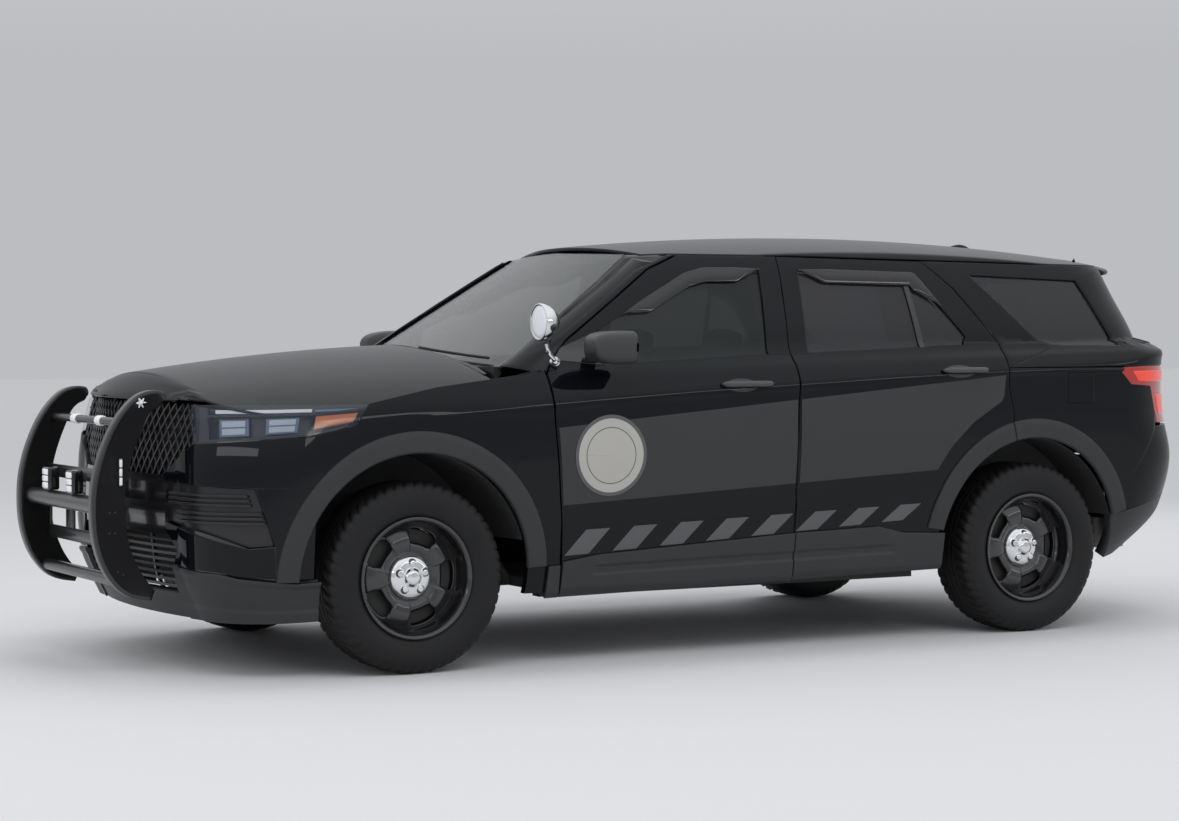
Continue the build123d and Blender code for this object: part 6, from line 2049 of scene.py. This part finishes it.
class Studio:
    """Floor, camera and lights."""

    yaw: float = math.radians(29.279)
    pitch: float = math.radians(1.745)
    lens_mm: float = 80.64
    place: tuple[float, float, float] = (5.9398, 10.2570, 1.3448)

    def build(self) -> None:
        """Builds the floor, the lights, the world and the camera."""
        self._floor()
        self._lights()
        self._world()
        self._camera()
        bpy.context.scene.view_settings.view_transform = "Standard"

    def _floor(self) -> None:
        """A wide pale floor just under the tyres."""
        half = 60.0
        corners = np.array([(-half, -half, 0), (half, -half, 0), (half, half, 0), (-half, half, 0)])
        finish = Finish("pale_floor", "stage", (0.66, 0.66, 0.67), 0.8, grain=60, bump=0.0008,
                        spread=0.05)
        floor = make_mesh("studio_floor", corners, [[0, 1, 2, 3]], finish, smooth=False)

    def _lights(self) -> None:
        """Soft boxes over and round the car, and two strips that the paint mirrors."""
        self._soft_box("key_box", (2.5, 5.5, 6.5), (0, 0, 0.8), (7.0, 3.0), 150)
        self._soft_box("top_box", (-0.6, 0.0, 6.0), (-0.6, 0, 0), (5.0, 1.6), 70)
        self._soft_box("side_strip", (-4.5, 9.5, 3.1), (0, 0, 1.0), (13.0, 0.55), 60, True)
        self._soft_box("nose_strip", (9.5, 3.5, 2.9), (2.2, 0, 0.9), (7.0, 0.5), 30, True)
        self._soft_box("nose_box", (8.0, -1.5, 3.6), (1.5, 0, 0.8), (4.0, 2.0), 80)
        self._soft_box("rim_box", (-5.5, -6.0, 4.5), (0, 0, 1.0), (6.0, 2.5), 90)

    @staticmethod
    def _soft_box(name: str, place: tuple, aim: tuple, size: tuple, watts: float,
                  mirrored: bool = False) -> None:
        """One area lamp turned to a point."""
        lamp = bpy.data.lights.new(name, "AREA")
        lamp.shape = "RECTANGLE"
        lamp.size, lamp.size_y = size
        lamp.energy = watts
        box = bpy.data.objects.new(name, lamp)
        box.location = place
        box.visible_glossy = mirrored
        box.visible_camera = False
        box.rotation_euler = (Vector(aim) - Vector(place)).to_track_quat("-Z", "Y").to_euler()
        bpy.context.scene.collection.objects.link(box)

    @staticmethod
    def _world() -> None:
        """A pale world, darker at the horizon, a little stronger for camera, gloss and glass."""
        world = bpy.data.worlds.new("studio_world")
        bpy.context.scene.world = world
        world.use_nodes = True
        tree = world.node_tree
        back = tree.nodes["Background"]
        place = tree.nodes.new("ShaderNodeTexCoord")
        split = tree.nodes.new("ShaderNodeSeparateXYZ")
        ramp = tree.nodes.new("ShaderNodeMapRange")
        ramp.inputs["From Min"].default_value = 0.10
        ramp.inputs["From Max"].default_value = 0.55
        blend = tree.nodes.new("ShaderNodeMix")
        blend.data_type = "RGBA"
        blend.inputs["A"].default_value = (0.50, 0.51, 0.53, 1)
        blend.inputs["B"].default_value = (0.95, 0.97, 1.0, 1)
        tree.links.new(place.outputs["Generated"], split.inputs["Vector"])
        tree.links.new(split.outputs["Z"], ramp.inputs["Value"])
        tree.links.new(ramp.outputs["Result"], blend.inputs["Factor"])
        tree.links.new(blend.outputs["Result"], back.inputs["Color"])
        path = tree.nodes.new("ShaderNodeLightPath")
        seen = None
        for ray in ("Is Camera Ray", "Is Glossy Ray", "Is Transmission Ray"):
            if seen is None:
                seen = path.outputs[ray]
                continue
            more = tree.nodes.new("ShaderNodeMath")
            more.operation = "MAXIMUM"
            tree.links.new(seen, more.inputs[0])
            tree.links.new(path.outputs[ray], more.inputs[1])
            seen = more.outputs[0]
        strength = tree.nodes.new("ShaderNodeMapRange")
        strength.inputs["To Min"].default_value = 0.85
        strength.inputs["To Max"].default_value = 1.0
        tree.links.new(seen, strength.inputs["Value"])
        tree.links.new(strength.outputs["Result"], back.inputs["Strength"])

    def _camera(self) -> None:
        """The camera at the picture's viewing angle, from its solved yaw and pitch."""
        sin_y, cos_y = math.sin(self.yaw), math.cos(self.yaw)
        sin_p, cos_p = math.sin(self.pitch), math.cos(self.pitch)
        ahead = Vector((-sin_y * cos_p, -cos_y * cos_p, -sin_p))
        right = Vector((-cos_y, sin_y, 0))
        above = right.cross(ahead)
        turn = Matrix((right, above, -ahead)).transposed().to_4x4()
        lens = bpy.data.cameras.new("picture_camera")
        lens.lens = self.lens_mm
        lens.sensor_width = 36.0
        lens.clip_end = 300
        camera = bpy.data.objects.new("picture_camera", lens)
        camera.matrix_world = Matrix.Translation(self.place) @ turn
        bpy.context.scene.collection.objects.link(camera)
        bpy.context.scene.camera = camera


NAMED_FINISHES: dict[str, Finish] = {
    "grilles": GRILLE_BLACK, "front_bumper": GLOSS_PLASTIC, "wheel_liners": UNDERBODY,
}
NODE_FINISHES: dict[str, Finish] = {finish.slot: finish for finish in (
    GLOSS_BLACK, CLADDING, FRONT_GLASS, PRIVACY_GLASS, RUBBER, WHEEL_BLACK, LENS, RED_LENS, LAMP_AND_GLINT_WHITE,
    CHROME, PUSH_BLACK, INTERIOR, CLOTH, UNDERBODY, CASTING, EXHAUST)}


def dress_nodes() -> None:
    """Gives every CAD node the finish of its slot."""
    for name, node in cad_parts.items():
        for slot in node.material_slots:
            base = slot.material.name.split(".")[0] if slot.material else ""
            finish = NAMED_FINISHES.get(name) or NODE_FINISHES.get(base, GLOSS_BLACK)
            slot.material = finish.material()
        LOG.info("%s: %s", name, [s.material.name for s in node.material_slots])


def main() -> None:
    """Builds the car's dressed pieces in order."""
    logging.basicConfig(level=logging.INFO, format="%(name)s: %(message)s")
    dress_nodes()
    shop = Shop()
    for side in Side:
        SideSkins(shop, side).dress()
        Cladding(shop, side).dress()
        Decals(shop, side).dress()
        for axle in ("front", "rear"):
            RoadWheel(shop, axle, side).dress()
        Headlamp(shop, side).dress()
    TopSkins(shop).dress()
    Nose(shop).dress()
    Grilles(shop).dress()
    PushBumper(shop).dress()
    SmallTrim(shop).dress()
    Cabin(shop).dress()
    TailPieces(shop).dress()
    Windows(shop).dress()
    Studio().build()
    LOG.info("%d pieces", len(shop.pieces))


if __name__ == "__main__":
    main()
